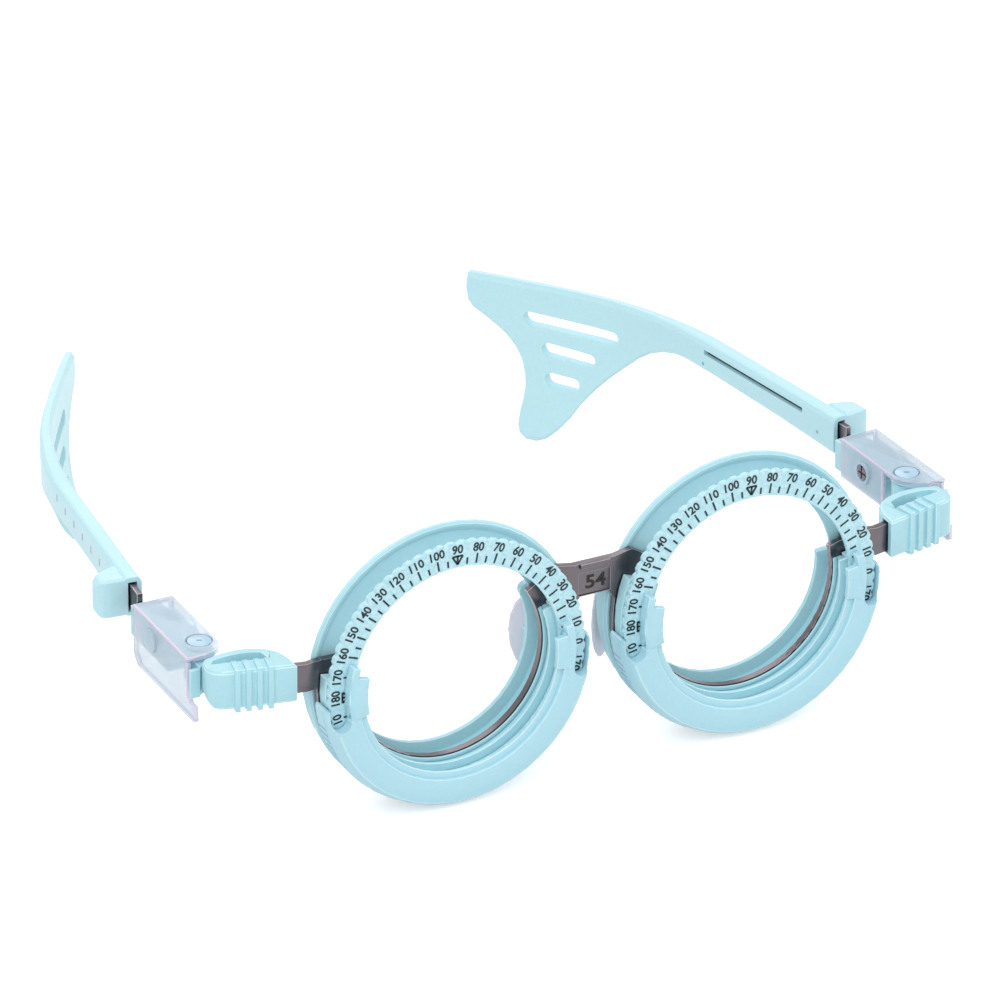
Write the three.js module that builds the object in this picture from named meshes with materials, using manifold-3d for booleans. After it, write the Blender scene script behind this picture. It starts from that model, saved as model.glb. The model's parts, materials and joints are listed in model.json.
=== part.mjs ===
// Optical trial frame: two round lens cells on a metal chassis, with adjustable side arms.
// Millimetres. X runs across the face, Y from the front to the back, Z up.
import * as THREE from "three";
import { mergeVertices } from "three/addons/utils/BufferGeometryUtils.js";
import Module from "manifold-3d";

const wasm = await Module();
wasm.setup();

const { degToRad, lerp, smoothstep } = THREE.MathUtils;
const FULL_TURN = 360;
const HALF_TURN = FULL_TURN / 2;
const TURN = degToRad(FULL_TURN);

// Fineness of curves
const RING_SEGMENTS = 48;
const PIN_SEGMENTS = 16;
const CORNER_SEGMENTS = 4;
const WELD = 1e-4;

// Clearances
const GAP = 0.3;
const OVERRUN = 2;

// Eyes and trial lenses
const PUPIL_DISTANCE = 54;
const LENS_RADIUS = 19;
const LENS_PLAY = 0.15;
const EYE_X = PUPIL_DISTANCE / 2;
const GROOVE_RADIUS = LENS_RADIUS + LENS_PLAY;

// Scale ring, whose printed face is at Y = 0
const SCALE_INNER_RADIUS = 18.9;
const SCALE_OUTER_RADIUS = 23.4;
const SCALE_THICKNESS = 1;
const SCALLOP_COUNT = 72;
const SCALLOP_DEPTH = 0.35;

// Front cell, a trough open at the top
const FRONT_CELL_DEPTH = 2.2;
const FRONT_RIDGE_RADIUS = 17.5;
const FRONT_RIDGE_WIDTH = 0.6;
const FRONT_NASAL_END = 21;
const FRONT_TEMPLE_END = 8;
const FRONT_CELL_FRONT = SCALE_THICKNESS + GAP;
const FRONT_CELL_BACK = FRONT_CELL_FRONT + FRONT_CELL_DEPTH;

// Spring finger that steadies the lens, cut in the nasal wall of the front cell
const FINGER_START = -4;
const FINGER_SPAN = 18;
const FINGER_MOUTH_SPAN = 1.5;
const FINGER_SLIT = 0.7;
const FINGER_WALL = 1.2;

// Chassis plate: lower half rings, bridge and side arms in one stamping
const PLATE_THICKNESS = 1.2;
const PLATE_INNER_RADIUS = 17.3;
const PLATE_RIM_WIDTH = 0.2;
const PLATE_OUTER_RADIUS = SCALE_OUTER_RADIUS + PLATE_RIM_WIDTH;
const PLATE_NASAL_END = 32;
const PLATE_TEMPLE_END = 14;
const PLATE_FRONT = FRONT_CELL_BACK + GAP;
const PLATE_BACK = PLATE_FRONT + PLATE_THICKNESS;
const BRIDGE_TOP = 11.9;
const BRIDGE_BOTTOM = 5.8;
const BRIDGE_HALF_FLAT = 2.6;
const BRIDGE_HALF_WAIST = 3.7;
const BRIDGE_FILLET = 1.6;
const BRIDGE_LIP = 0.8;
const BRIDGE_LIP_PROUD = 0.5;
const PAD_WIDTH = 5.8;
const PAD_HEIGHT = 4.1;
const PAD_Z = 8;
const PAD_RECESS = 0.25;
const ARM_BOTTOM = 0.5;
const ARM_HEIGHT = 5.1;
const ARM_BEND_STAND_OFF = 0.4;
const ARM_BEND_X = EYE_X + PLATE_OUTER_RADIUS + ARM_BEND_STAND_OFF;
const ARM_ROOT_X = EYE_X + GROOVE_RADIUS;

// Rear cell: a dished flange all round, and a trough under the lens
const REAR_CELL_DEPTH = 4.3;
const FLANGE_INNER_RADIUS = 18.4;
const FLANGE_OVERHANG = 0.7;
const FLANGE_OUTER_RADIUS = PLATE_OUTER_RADIUS + FLANGE_OVERHANG;
const FLANGE_DISH = 0.6;
const FLANGE_RIM_WIDTH = 1.2;
const FLANGE_THICKNESS = 1.2;
const FLANGE_EDGE_ROUND = 0.4;
const TROUGH_SET_IN = 0.5;
const TROUGH_OUTER_RADIUS = FLANGE_OUTER_RADIUS - TROUGH_SET_IN;
const REAR_LIP_RADIUS = 17;
const REAR_LIP_WIDTH = 1.2;
const REAR_NASAL_END = 20;
const REAR_TEMPLE_END = 3;
const KNOB_RADIUS = 1.4;
const KNOB_PIN_RADIUS = 0.35;
const REAR_CELL_FRONT = PLATE_BACK + GAP;
const REAR_CELL_BACK = REAR_CELL_FRONT + REAR_CELL_DEPTH;

// Screws that hold the two cells to the chassis plate
const CELL_SCREW_RADIUS = 0.75;
const CELL_SCREW_HEAD_RADIUS = 1.4;
const CELL_SCREW_HEAD_HEIGHT = 0.8;
const CELL_SCREW_CIRCLE = (GROOVE_RADIUS + PLATE_OUTER_RADIUS) / 2;
const CELL_SCREW_ANGLES = [-48, -132];
const CELL_SCREW_TIP_WALL = 0.6;
const SCREW_SLOT_WIDTH = 0.35;
const SCREW_SLOT_DEPTH = 0.4;

// Rotating lens holder: a crescent with forked ends over the scale
const HOLDER_THICKNESS = 1.9;
const HOLDER_INNER_RADIUS = 18.85;
const HOLDER_LIP_RADIUS = 17.6;
const HOLDER_LIP_SET_BACK = 0.6;
const HOLDER_LIP_THICKNESS = 0.5;
const HOLDER_START = -10;
const HOLDER_END = -170;
const SKIRT_START = 2;
const SKIRT_END = -176;
const FINGER_TIP_START = 13;
const FINGER_TIP_END = -197;
const FINGER_TIP_RADIUS = 17.3;
const FINGER_NARROW_RADIUS = 19.4;
const FINGER_WINDOW_RADIUS = 20.7;
const FINGER_NARROW_SPAN = 5;
const SKIRT_INNER_RADIUS = SCALE_OUTER_RADIUS + GAP;
const SKIRT_WALL = 0.5;
const SKIRT_RISE = 0.6;
const HOLDER_OUTER_RADIUS = SKIRT_INNER_RADIUS + SKIRT_WALL;
const HOLDER_CHAMFER = 0.7;
const HOLDER_CHAMFER_RUN = 0.5;
const HOLDER_EDGE_ROUND = 0.4;
const KNURL_SET_BACK = 0.8;
const KNURL_HEIGHT = 0.1;
const KNURL_COUNT = 120;
const HOLDER_BACK = -GAP;
const HOLDER_FRONT = HOLDER_BACK - HOLDER_THICKNESS;
const SKIRT_BACK = PLATE_FRONT - GAP;

// Nose pads and their brackets
const NOSE_PAD_HEIGHT = 15;
const NOSE_PAD_WIDTH = 8.5;
const NOSE_PAD_THICKNESS = 1.8;
const NOSE_PAD_SET_IN = 3;
const NOSE_PAD_STAND_OFF = 3.6;
const NOSE_PAD_X = EYE_X - PLATE_OUTER_RADIUS + NOSE_PAD_SET_IN;
const NOSE_PAD_Y = REAR_CELL_BACK + NOSE_PAD_STAND_OFF;
const NOSE_PAD_Z = -4.3;
const NOSE_PAD_TURN = 40;
const BRACKET_WIDTH = 2.4;
const BRACKET_HEIGHT = 3.6;
const BRACKET_SET_IN = 0.45;
const BRACKET_X = EYE_X - GROOVE_RADIUS - BRACKET_SET_IN;

// Width slider: a ribbed loop on the chassis arm, which wraps back round the face
const FACE_WRAP = 13;
const SLIDER_STAND_OFF = 4.2;
const SLIDER_INNER_X = EYE_X + PLATE_OUTER_RADIUS + SLIDER_STAND_OFF;
const SLIDER_FRONT = 2.5;
const SLIDER_LENGTH = 14.8;
const SLIDER_BOTTOM = -0.3;
const SLIDER_HEIGHT = 6.9;
const SLIDER_EDGE = 0.35;
const SLIDER_CORNER = 2.9;
const SLIDER_ARCH = 7.7;
const SLIDER_FRONT_WALL = 1.2;
const SLIDER_INNER_WALL = 0.5;
const SLIDER_BLOCK = 4;
const SLIDER_OPENING = 6.6;
const SLIDER_ARCH_WALL = 1.6;
const SLIDER_END_WALL = 1.6;
const SLIDER_RECESS = 3;
const SLIDER_RECESS_DEPTH = 1.1;
const SLIDER_SHOULDER_ROUND = 2.2;
const ARM_FRONT = SLIDER_FRONT_WALL + GAP;
const ARM_BACK = ARM_FRONT + PLATE_THICKNESS;
const ARM_PLAY = 2.4;
const ARM_LENGTH = SLIDER_LENGTH - SLIDER_END_WALL - ARM_PLAY;
const SLIDER_WALL = ARM_BACK + GAP + SLIDER_INNER_WALL;
const RIB_COUNT = 4;
const RIB_PITCH = 1.85;
const RIB_WIDTH = 0.85;
const RIB_PROUD = 0.45;

// The back of the slider, from its outer end round to the block: shares of its length and of its arch
const SLIDER_BACK_SHARES = [
  [1, 0.6],
  [0.96, 0.73],
  [0.845, 0.845],
  [0.73, 0.935],
  [0.55, 1],
  [0.38, 0.975],
  [0.23, 0.86],
  [0.128, 0.69],
  [0.05, 0.415],
];

// Fold hinge behind the slider's outer end
const HINGE_SET_IN = 1.13;
const HINGE_SET_BACK = 3.92;
const WRAP_COS = Math.cos(degToRad(FACE_WRAP));
const WRAP_SIN = Math.sin(degToRad(FACE_WRAP));
const PIVOT_ALONG = SLIDER_LENGTH - HINGE_SET_IN;
const PIVOT_BEHIND = SLIDER_ARCH + HINGE_SET_BACK;
const PIVOT_X = SLIDER_INNER_X + PIVOT_ALONG * WRAP_COS - PIVOT_BEHIND * WRAP_SIN;
const PIVOT_Y = SLIDER_FRONT + PIVOT_ALONG * WRAP_SIN + PIVOT_BEHIND * WRAP_COS;
const FOLD_PIN_RADIUS = 0.9;
const FOLD_PIN_HEAD_RADIUS = 2;
const FOLD_PIN_HEAD = 0.4;
const KNUCKLE_RADIUS = 2.5;
const POST_INNER = 0.6;
const POST_OUTER = 2.7;
const POST_BOTTOM = 0;
const POST_LUG = 4.6;
const POST_LUG_THICKNESS = 0.6;
const POST_LUG_GAP = 0.7;
const POST_REACH = 6.6;

// Clear cover over the hinge: top plate, short inner plate and deep outer plate
const COVER_WALL = 0.9;
const COVER_TOP = 6.8;
const COVER_INNER = -2.75;
const COVER_OUTER = 4.5;
const COVER_FRONT = -4.9;
const COVER_BACK = 16.2;
const COVER_NOSE_RADIUS = 4.1;
const COVER_INNER_BOTTOM = -0.6;
const COVER_INNER_FRONT = 3.2;
const COVER_OUTER_BOTTOM = -4;
const COVER_TAB_REACH = 2.7;
const COVER_TAB_TOP = -0.9;
const COVER_TAB_SLOPE = 0.6;
const COVER_BACK_CORNER = 1.6;
const COVER_PIVOT_PAD = 0.4;
const COVER_BOSS_RADIUS = 2.1;
const COVER_BOSS_PROUD = 0.35;
const COVER_TOE_IN = { right: 1, left: 4 };
const COVER_UNDERSIDE = COVER_TOP - COVER_WALL;
const POST_TOP = COVER_UNDERSIDE - COVER_PIVOT_PAD - GAP;

// Tilt block between the cover's plates, and its screw
const TILT_Y = 9.1;
const TILT_Z = 3.4;
const TILT_SCREW_RADIUS = 0.6;
const TILT_SCREW_HEAD_RADIUS = 1.2;
const TILT_SCREW_HEAD = 0.4;
const TILT_SCREW_SEAT = 0.4;
const BLOCK_FRONT = 4.2;
const BLOCK_TAIL = 3.6;
const BLOCK_BACK = COVER_BACK + BLOCK_TAIL;
const BLOCK_TOP = COVER_UNDERSIDE - GAP;
const BLOCK_BOTTOM = -0.8;
const BLOCK_CROWN_DROP = 1;
const BLOCK_CORNER = 1;

// Temple strip and temple
const TEMPLE_X = 1.2;
const TEMPLE_STAND_OFF = 2.3;
const TEMPLE_Y = BLOCK_BACK + TEMPLE_STAND_OFF;
const TEMPLE_TOE_IN = 5.7;
const TEMPLE_DRAWN_OUT = { right: 1.7, left: 0 };
const STRIP_THICKNESS = 1;
const STRIP_ROOT = -8.5;
const STRIP_TIP = 36;
const STRIP_TOP_COVER = 1.15;
const STRIP_BOTTOM_COVER = 1;
const STRIP_TONGUE_TOP = 3.8;
const BAR_LENGTH = 34;
const BAR_TOP = 7.2;
const BAR_BOTTOM = 0.2;
const BAR_TAPER = 1.6;
const BAR_THICKNESS = 3.2;
const BAR_EDGE = 0.8;
const BAR_EDGE_INSET = 0.9;
const FAN_LENGTH = 52;
const FAN_LIFT = 2.95;
const FAN_THICKNESS = 1.9;
const FAN_BEND_RADIUS = 68;
const FAN_BEND_LENGTH = 30;
const FAN_TIP_RADIUS = 300;
const FAN_LEAN = 7.4;
const FAN_TIP_DROP = 0.6;
const POCKET_PLAY = 0.5;
const POCKET_END = STRIP_TIP + POCKET_PLAY;
const THUMB_REACH = 4.8;
const THUMB_LENGTH = 5.4;
const THUMB_ROUND = 2.2;
const SLIT_START = 8.7;
const SLIT_END = 35.8;
const SLIT_WIDTH = 0.9;
const SLIT_Z = 5.25;
const FAN_SLOT_WIDTH = 2.5;
const FAN_STATIONS_ACROSS = 3;

// A rounded edge: how far in from the edge, and how far down from the face
const EDGE_ROUND_SHARES = [
  [0, 1],
  [0.25, 0.5],
  [1, 0],
];

// Each row: how far along the fan the lower edge is, how far down, and how far along the top edge is
const FAN_STATION_SHARES = [
  [0, 0.201, 0],
  [0.054, 0.201, 0.055],
  [0.14, 0.193, 0.13],
  [0.196, 0.198, 0.18],
  [0.251, 0.223, 0.225],
  [0.303, 0.263, 0.265],
  [0.351, 0.324, 0.3],
  [0.411, 0.421, 0.335],
  [0.468, 0.518, 0.37],
  [0.522, 0.622, 0.405],
  [0.568, 0.725, 0.44],
  [0.606, 0.833, 0.47],
  [0.639, 0.908, 0.5],
  [0.678, 0.973, 0.53],
  [0.714, 1, 0.555],
  [0.752, 1, 0.58],
  [0.779, 0.97, 0.605],
  [0.788, 0.922, 0.63],
  [0.786, 0.86, 0.655],
  [0.778, 0.785, 0.68],
  [0.773, 0.699, 0.705],
  [0.779, 0.607, 0.735],
  [0.794, 0.518, 0.765],
  [0.821, 0.443, 0.8],
  [0.856, 0.38, 0.84],
  [0.901, 0.327, 0.885],
  [0.944, 0.282, 0.93],
  [0.981, 0.248, 0.965],
  [1, 0.204, 0.985],
  [1.005, 0.152, 1],
];
// Each slot: from and to along the fan, with how far down each end lies
const FAN_SLOT_SHARES = [
  [0.434, 0.242, 0.792, 0.24],
  [0.518, 0.428, 0.72, 0.414],
  [0.571, 0.605, 0.7, 0.598],
];

// The object stands on the flanges of both eyes, with the fans' lobes clear of the surface.
const EYE_HEIGHT = FLANGE_OUTER_RADIUS;
const FAN_DEPTH = BAR_TOP + EYE_HEIGHT - FAN_LIFT;

// Materials
const mouldedTeal = { color: 0x9fdbe4, roughness: 0.42, metalness: 0 };
const paleTeal = { color: 0xb0dfe9, roughness: 0.45, metalness: 0 };
const scaleTeal = { color: 0xb9e8ec, roughness: 0.5, metalness: 0 };
const darkMetal = { color: 0x706a6e, roughness: 0.35, metalness: 0.9 };
const clearPlastic = { color: 0xe2def0, roughness: 0.15, metalness: 0, transparent: true, opacity: 0.45 };
const silicone = { color: 0xdedeee, roughness: 0.35, metalness: 0, transparent: true, opacity: 0.7 };

// A closed geometry as a solid that can be joined and cut.
function solidOf(geometry) {
  const bare = geometry.clone();
  bare.deleteAttribute("normal");
  bare.deleteAttribute("uv");
  const merged = mergeVertices(bare, WELD);
  return new wasm.Manifold(
    new wasm.Mesh({
      numProp: 3,
      vertProperties: merged.attributes.position.array,
      triVerts: new Uint32Array(merged.index.array),
    }),
  );
}

function geometryOf(solid) {
  const mesh = solid.getMesh();
  const geometry = new THREE.BufferGeometry();
  geometry.setAttribute("position", new THREE.BufferAttribute(mesh.vertProperties, 3));
  geometry.setIndex(new THREE.BufferAttribute(mesh.triVerts, 1));
  return geometry;
}

function piece(name, solid, finish) {
  const mesh = new THREE.Mesh(geometryOf(solid), new THREE.MeshStandardMaterial(finish));
  mesh.name = name;
  return mesh;
}

const join = (solids) => solids.reduce((whole, next) => whole.add(next));
const cut = (solid, tools) => tools.reduce((left, tool) => left.subtract(tool), solid);

function shapeOf(points) {
  return new THREE.Shape(points.map(([x, y]) => new THREE.Vector2(x, y)));
}

// A ring about the Y axis from a closed profile of [radius, depth] points.
function ring(profile, segments = RING_SEGMENTS) {
  const points = profile.map(([radius, depth]) => new THREE.Vector2(radius, depth));
  if (THREE.ShapeUtils.area(points) < 0) points.reverse();
  points.push(points[0].clone());
  return solidOf(new THREE.LatheGeometry(points, segments));
}

// A flat outline drawn in X and Z, standing from one depth to another.
function uprightPlate(shape, front, back) {
  const geometry = new THREE.ExtrudeGeometry(shape, {
    depth: back - front,
    bevelEnabled: false,
    curveSegments: CORNER_SEGMENTS,
  });
  return solidOf(geometry.rotateX(TURN / 4).translate(0, back, 0));
}

// A flat outline drawn in X and Y, lying between two heights.
function flatPlate(shape, bottom, top, bevel = 0) {
  const geometry = new THREE.ExtrudeGeometry(shape, {
    depth: top - bottom - bevel * 2,
    bevelEnabled: bevel > 0,
    bevelSize: bevel,
    bevelThickness: bevel,
    bevelOffset: -bevel,
    bevelSegments: 1,
    curveSegments: CORNER_SEGMENTS,
  });
  return solidOf(geometry.translate(0, 0, bottom + bevel));
}

// A flat outline drawn in Y and Z, standing from one X to another.
function sidePlate(shape, from, to) {
  const geometry = new THREE.ExtrudeGeometry(shape, {
    depth: to - from,
    bevelEnabled: false,
    curveSegments: CORNER_SEGMENTS,
  });
  const turn = new THREE.Matrix4().makeBasis(
    new THREE.Vector3(0, 1, 0),
    new THREE.Vector3(0, 0, 1),
    new THREE.Vector3(1, 0, 0),
  );
  return solidOf(geometry.applyMatrix4(turn).translate(from, 0, 0));
}

// A round bar along X, Y or Z between two places, about a line through the other two.
function barAlong(axis, radius, from, to, across, up, segments = PIN_SEGMENTS) {
  const geometry = new THREE.CylinderGeometry(radius, radius, to - from, segments);
  geometry.translate(0, (from + to) / 2, 0);
  if (axis === "x") geometry.rotateZ(-TURN / 4).translate(0, across, up);
  if (axis === "y") geometry.translate(across, 0, up);
  if (axis === "z") geometry.rotateX(TURN / 4).translate(across, up, 0);
  return solidOf(geometry);
}

function boxBetween(low, high) {
  const size = high.map((value, i) => value - low[i]);
  const geometry = new THREE.BoxGeometry(...size);
  return solidOf(geometry.translate(...low.map((value, i) => value + size[i] / 2)));
}

const polar = (radius, degrees) => [
  radius * Math.cos(degToRad(degrees)),
  radius * Math.sin(degToRad(degrees)),
];

// A band between two radii, from one angle down to a smaller one, standing between two depths.
function sector(inner, outer, start, end, front, back) {
  const steps = Math.max(1, Math.ceil(((start - end) / FULL_TURN) * RING_SEGMENTS));
  const angles = Array.from({ length: steps + 1 }, (_, i) => lerp(start, end, i / steps));
  const out = angles.map((angle) => polar(outer, angle));
  const back_ = angles.reverse().map((angle) => (inner > 0 ? polar(inner, angle) : [0, 0]));
  return uprightPlate(shapeOf(inner > 0 ? [...out, ...back_] : [...out, [0, 0]]), front, back);
}

// Everything within a radius between two angles, for keeping part of a ring
function wedge(radius, start, end, front, back) {
  return sector(0, radius + OVERRUN, start, end, front - OVERRUN, back + OVERRUN);
}

// Moves what is drawn along the slider's front to where the slider lies on the wrapped arm
function wrapped(solid) {
  return solid.rotate([0, 0, FACE_WRAP]).translate([SLIDER_INNER_X, SLIDER_FRONT, 0]);
}

// Chassis
function chassis() {
  const mirrored = (points) => [...points, ...points.map(([x, z]) => [-x, z]).reverse()];
  const fromEye = ([x, z]) => [EYE_X - x, z];
  const bridge = uprightPlate(
    shapeOf(
      mirrored([
        [0, BRIDGE_BOTTOM],
        [BRIDGE_HALF_FLAT, BRIDGE_BOTTOM],
        [BRIDGE_HALF_WAIST, BRIDGE_BOTTOM - BRIDGE_FILLET],
        fromEye(polar(GROOVE_RADIUS, 0)),
        fromEye(polar(GROOVE_RADIUS, PLATE_NASAL_END)),
        fromEye(polar(PLATE_OUTER_RADIUS, PLATE_NASAL_END)),
        [BRIDGE_HALF_WAIST, BRIDGE_TOP],
        [0, BRIDGE_TOP],
      ]),
    ),
    PLATE_FRONT,
    PLATE_BACK,
  );
  const lip = boxBetween(
    [-EYE_X + FLANGE_OUTER_RADIUS, PLATE_FRONT - BRIDGE_LIP_PROUD, BRIDGE_TOP - BRIDGE_LIP],
    [EYE_X - FLANGE_OUTER_RADIUS, PLATE_FRONT + PLATE_THICKNESS / 2, BRIDGE_TOP],
  );
  const pad = boxBetween(
    [-PAD_WIDTH / 2, PLATE_FRONT - OVERRUN, PAD_Z - PAD_HEIGHT / 2],
    [PAD_WIDTH / 2, PLATE_FRONT + PAD_RECESS, PAD_Z + PAD_HEIGHT / 2],
  );
  const start = PLATE_TEMPLE_END;
  const end = -HALF_TURN - PLATE_NASAL_END;
  const half = sector(PLATE_INNER_RADIUS, PLATE_OUTER_RADIUS, start, end, PLATE_FRONT, PLATE_BACK);
  const eye = barAlong(
    "y",
    PLATE_INNER_RADIUS,
    PLATE_FRONT - OVERRUN,
    PLATE_BACK + OVERRUN,
    EYE_X,
    0,
    RING_SEGMENTS,
  );
  const right = join([half.translate(EYE_X, 0, 0), chassisArm()]);
  const both = (solid) => [solid, solid.mirror([1, 0, 0])];
  const holes = cellScrewHoles().flatMap((hole) => both(hole.translate(EYE_X, 0, 0)));
  const plate = join([bridge, ...both(right)]);
  return piece("metal_chassis", cut(plate, [...both(eye), ...holes, pad]).add(lip), darkMetal);
}

// The arm on the +X side: flat out of the plate, then bent back to run inside the slider
function chassisArm() {
  const along = (run, depth) => [
    SLIDER_INNER_X + run * WRAP_COS - depth * WRAP_SIN,
    SLIDER_FRONT + run * WRAP_SIN + depth * WRAP_COS,
  ];
  const start = (ARM_BEND_X - SLIDER_INNER_X) / 2;
  return flatPlate(
    shapeOf([
      [ARM_ROOT_X, PLATE_FRONT],
      [ARM_BEND_X, PLATE_FRONT],
      along(start, ARM_FRONT),
      along(ARM_LENGTH, ARM_FRONT),
      along(ARM_LENGTH, ARM_BACK),
      along(start, ARM_BACK),
      [ARM_BEND_X, PLATE_BACK],
      [ARM_ROOT_X, PLATE_BACK],
    ]),
    ARM_BOTTOM,
    ARM_BOTTOM + ARM_HEIGHT,
  );
}

// Cell screws, about the eye's centre
function cellScrewHoles() {
  return CELL_SCREW_ANGLES.map((angle) => {
    const [x, z] = polar(CELL_SCREW_CIRCLE, angle);
    return barAlong(
      "y",
      CELL_SCREW_RADIUS + GAP,
      FRONT_CELL_FRONT + CELL_SCREW_TIP_WALL,
      REAR_CELL_BACK + OVERRUN,
      x,
      z,
    );
  });
}

function cellScrew(name, angle) {
  const [x, z] = polar(CELL_SCREW_CIRCLE, angle);
  const seat = REAR_CELL_BACK - CELL_SCREW_HEAD_HEIGHT;
  const tip = FRONT_CELL_FRONT + CELL_SCREW_TIP_WALL + GAP;
  const shank = barAlong("y", CELL_SCREW_RADIUS, tip, REAR_CELL_BACK, x, z);
  const head = barAlong("y", CELL_SCREW_HEAD_RADIUS, seat, REAR_CELL_BACK, x, z);
  const slot = boxBetween(
    [x - CELL_SCREW_HEAD_RADIUS - OVERRUN, REAR_CELL_BACK - SCREW_SLOT_DEPTH, z - SCREW_SLOT_WIDTH / 2],
    [x + CELL_SCREW_HEAD_RADIUS + OVERRUN, REAR_CELL_BACK + OVERRUN, z + SCREW_SLOT_WIDTH / 2],
  );
  return piece(name, shank.add(head).subtract(slot), darkMetal);
}

// Rear cell, drawn with its nasal side at 0 degrees
function rearCell(name) {
  const dish = REAR_CELL_FRONT + FLANGE_DISH;
  const back = REAR_CELL_FRONT + FLANGE_THICKNESS;
  const rim = FLANGE_OUTER_RADIUS - FLANGE_RIM_WIDTH;
  const flange = ring([
    [FLANGE_INNER_RADIUS, dish],
    [rim - FLANGE_DISH, dish],
    [rim, REAR_CELL_FRONT + FLANGE_EDGE_ROUND / 2],
    [rim + FLANGE_EDGE_ROUND, REAR_CELL_FRONT],
    [FLANGE_OUTER_RADIUS - FLANGE_EDGE_ROUND, REAR_CELL_FRONT],
    [FLANGE_OUTER_RADIUS, REAR_CELL_FRONT + FLANGE_EDGE_ROUND],
    [FLANGE_OUTER_RADIUS, back - FLANGE_EDGE_ROUND],
    [FLANGE_OUTER_RADIUS - FLANGE_EDGE_ROUND, back],
    [FLANGE_INNER_RADIUS, back],
  ]);
  const lipFront = REAR_CELL_BACK - REAR_LIP_WIDTH;
  const end = -HALF_TURN - REAR_TEMPLE_END;
  const kept = wedge(TROUGH_OUTER_RADIUS, REAR_NASAL_END, end, REAR_CELL_FRONT, REAR_CELL_BACK);
  const trough = ring([
    [GROOVE_RADIUS, REAR_CELL_FRONT],
    [TROUGH_OUTER_RADIUS, REAR_CELL_FRONT],
    [TROUGH_OUTER_RADIUS, REAR_CELL_BACK - FLANGE_EDGE_ROUND],
    [TROUGH_OUTER_RADIUS - FLANGE_EDGE_ROUND, REAR_CELL_BACK],
    [REAR_LIP_RADIUS + FLANGE_EDGE_ROUND, REAR_CELL_BACK],
    [REAR_LIP_RADIUS, REAR_CELL_BACK - FLANGE_EDGE_ROUND],
    [REAR_LIP_RADIUS, lipFront],
    [GROOVE_RADIUS, lipFront],
  ]).intersect(kept);
  const groove = ring([
    [SCALE_INNER_RADIUS - OVERRUN, REAR_CELL_FRONT - OVERRUN],
    [GROOVE_RADIUS, REAR_CELL_FRONT - OVERRUN],
    [GROOVE_RADIUS, lipFront],
    [SCALE_INNER_RADIUS - OVERRUN, lipFront],
  ]).intersect(kept);
  const [knobX, knobZ] = polar(REAR_LIP_RADIUS + KNOB_RADIUS, REAR_NASAL_END + KNOB_RADIUS);
  const knob = barAlong("y", KNOB_RADIUS, lipFront, REAR_CELL_BACK, knobX, knobZ);
  const dimple = barAlong("y", KNOB_PIN_RADIUS, lipFront - OVERRUN, REAR_CELL_BACK + OVERRUN, knobX, knobZ);
  const sinks = CELL_SCREW_ANGLES.map((angle) => {
    const [x, z] = polar(CELL_SCREW_CIRCLE, angle);
    const seat = REAR_CELL_BACK - CELL_SCREW_HEAD_HEIGHT - GAP;
    return barAlong("y", CELL_SCREW_HEAD_RADIUS + GAP, seat, REAR_CELL_BACK + OVERRUN, x, z);
  });
  const body = cut(flange, [groove]).add(trough).add(knob);
  return piece(name, cut(body, [dimple, ...cellScrewHoles(), ...sinks]), mouldedTeal);
}

// Front cell, drawn with its nasal side at 0 degrees
function frontCell(name) {
  const ridgeBack = FRONT_CELL_FRONT + FRONT_RIDGE_WIDTH;
  const body = ring([
    [FRONT_RIDGE_RADIUS, FRONT_CELL_FRONT],
    [SCALE_OUTER_RADIUS, FRONT_CELL_FRONT],
    [SCALE_OUTER_RADIUS, FRONT_CELL_BACK],
    [GROOVE_RADIUS, FRONT_CELL_BACK],
    [GROOVE_RADIUS, ridgeBack],
    [FRONT_RIDGE_RADIUS, ridgeBack],
  ]).intersect(
    wedge(
      SCALE_OUTER_RADIUS,
      FRONT_NASAL_END,
      -HALF_TURN - FRONT_TEMPLE_END,
      FRONT_CELL_FRONT,
      FRONT_CELL_BACK,
    ),
  );
  const inner = GROOVE_RADIUS + FINGER_WALL;
  const outer = inner + FINGER_SLIT;
  const back = FRONT_CELL_BACK + OVERRUN;
  const slit = sector(inner, outer, FINGER_START, FINGER_START - FINGER_SPAN, ridgeBack, back);
  const mouthStart = FINGER_START + FINGER_MOUTH_SPAN;
  const mouth = sector(GROOVE_RADIUS - OVERRUN, outer, mouthStart, FINGER_START, ridgeBack, back);
  return piece(name, cut(body, [...cellScrewHoles(), slit, mouth]), mouldedTeal);
}

// Scale ring with a scalloped edge, one hollow for every five degrees
function scaleRing(name) {
  const pitch = FULL_TURN / SCALLOP_COUNT;
  const valley = SCALE_OUTER_RADIUS - SCALLOP_DEPTH;
  const outline = Array.from({ length: SCALLOP_COUNT }, (_, i) => [
    polar(valley, i * pitch),
    polar(SCALE_OUTER_RADIUS, (i + 0.3) * pitch),
    polar(SCALE_OUTER_RADIUS, (i + 0.7) * pitch),
  ]).flat();
  const shape = shapeOf(outline);
  const hole = Array.from({ length: RING_SEGMENTS }, (_, i) =>
    polar(SCALE_INNER_RADIUS, (i * FULL_TURN) / RING_SEGMENTS),
  );
  shape.holes.push(new THREE.Path(hole.map(([x, z]) => new THREE.Vector2(x, z))));
  return piece(name, uprightPlate(shape, 0, SCALE_THICKNESS), scaleTeal);
}

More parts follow.
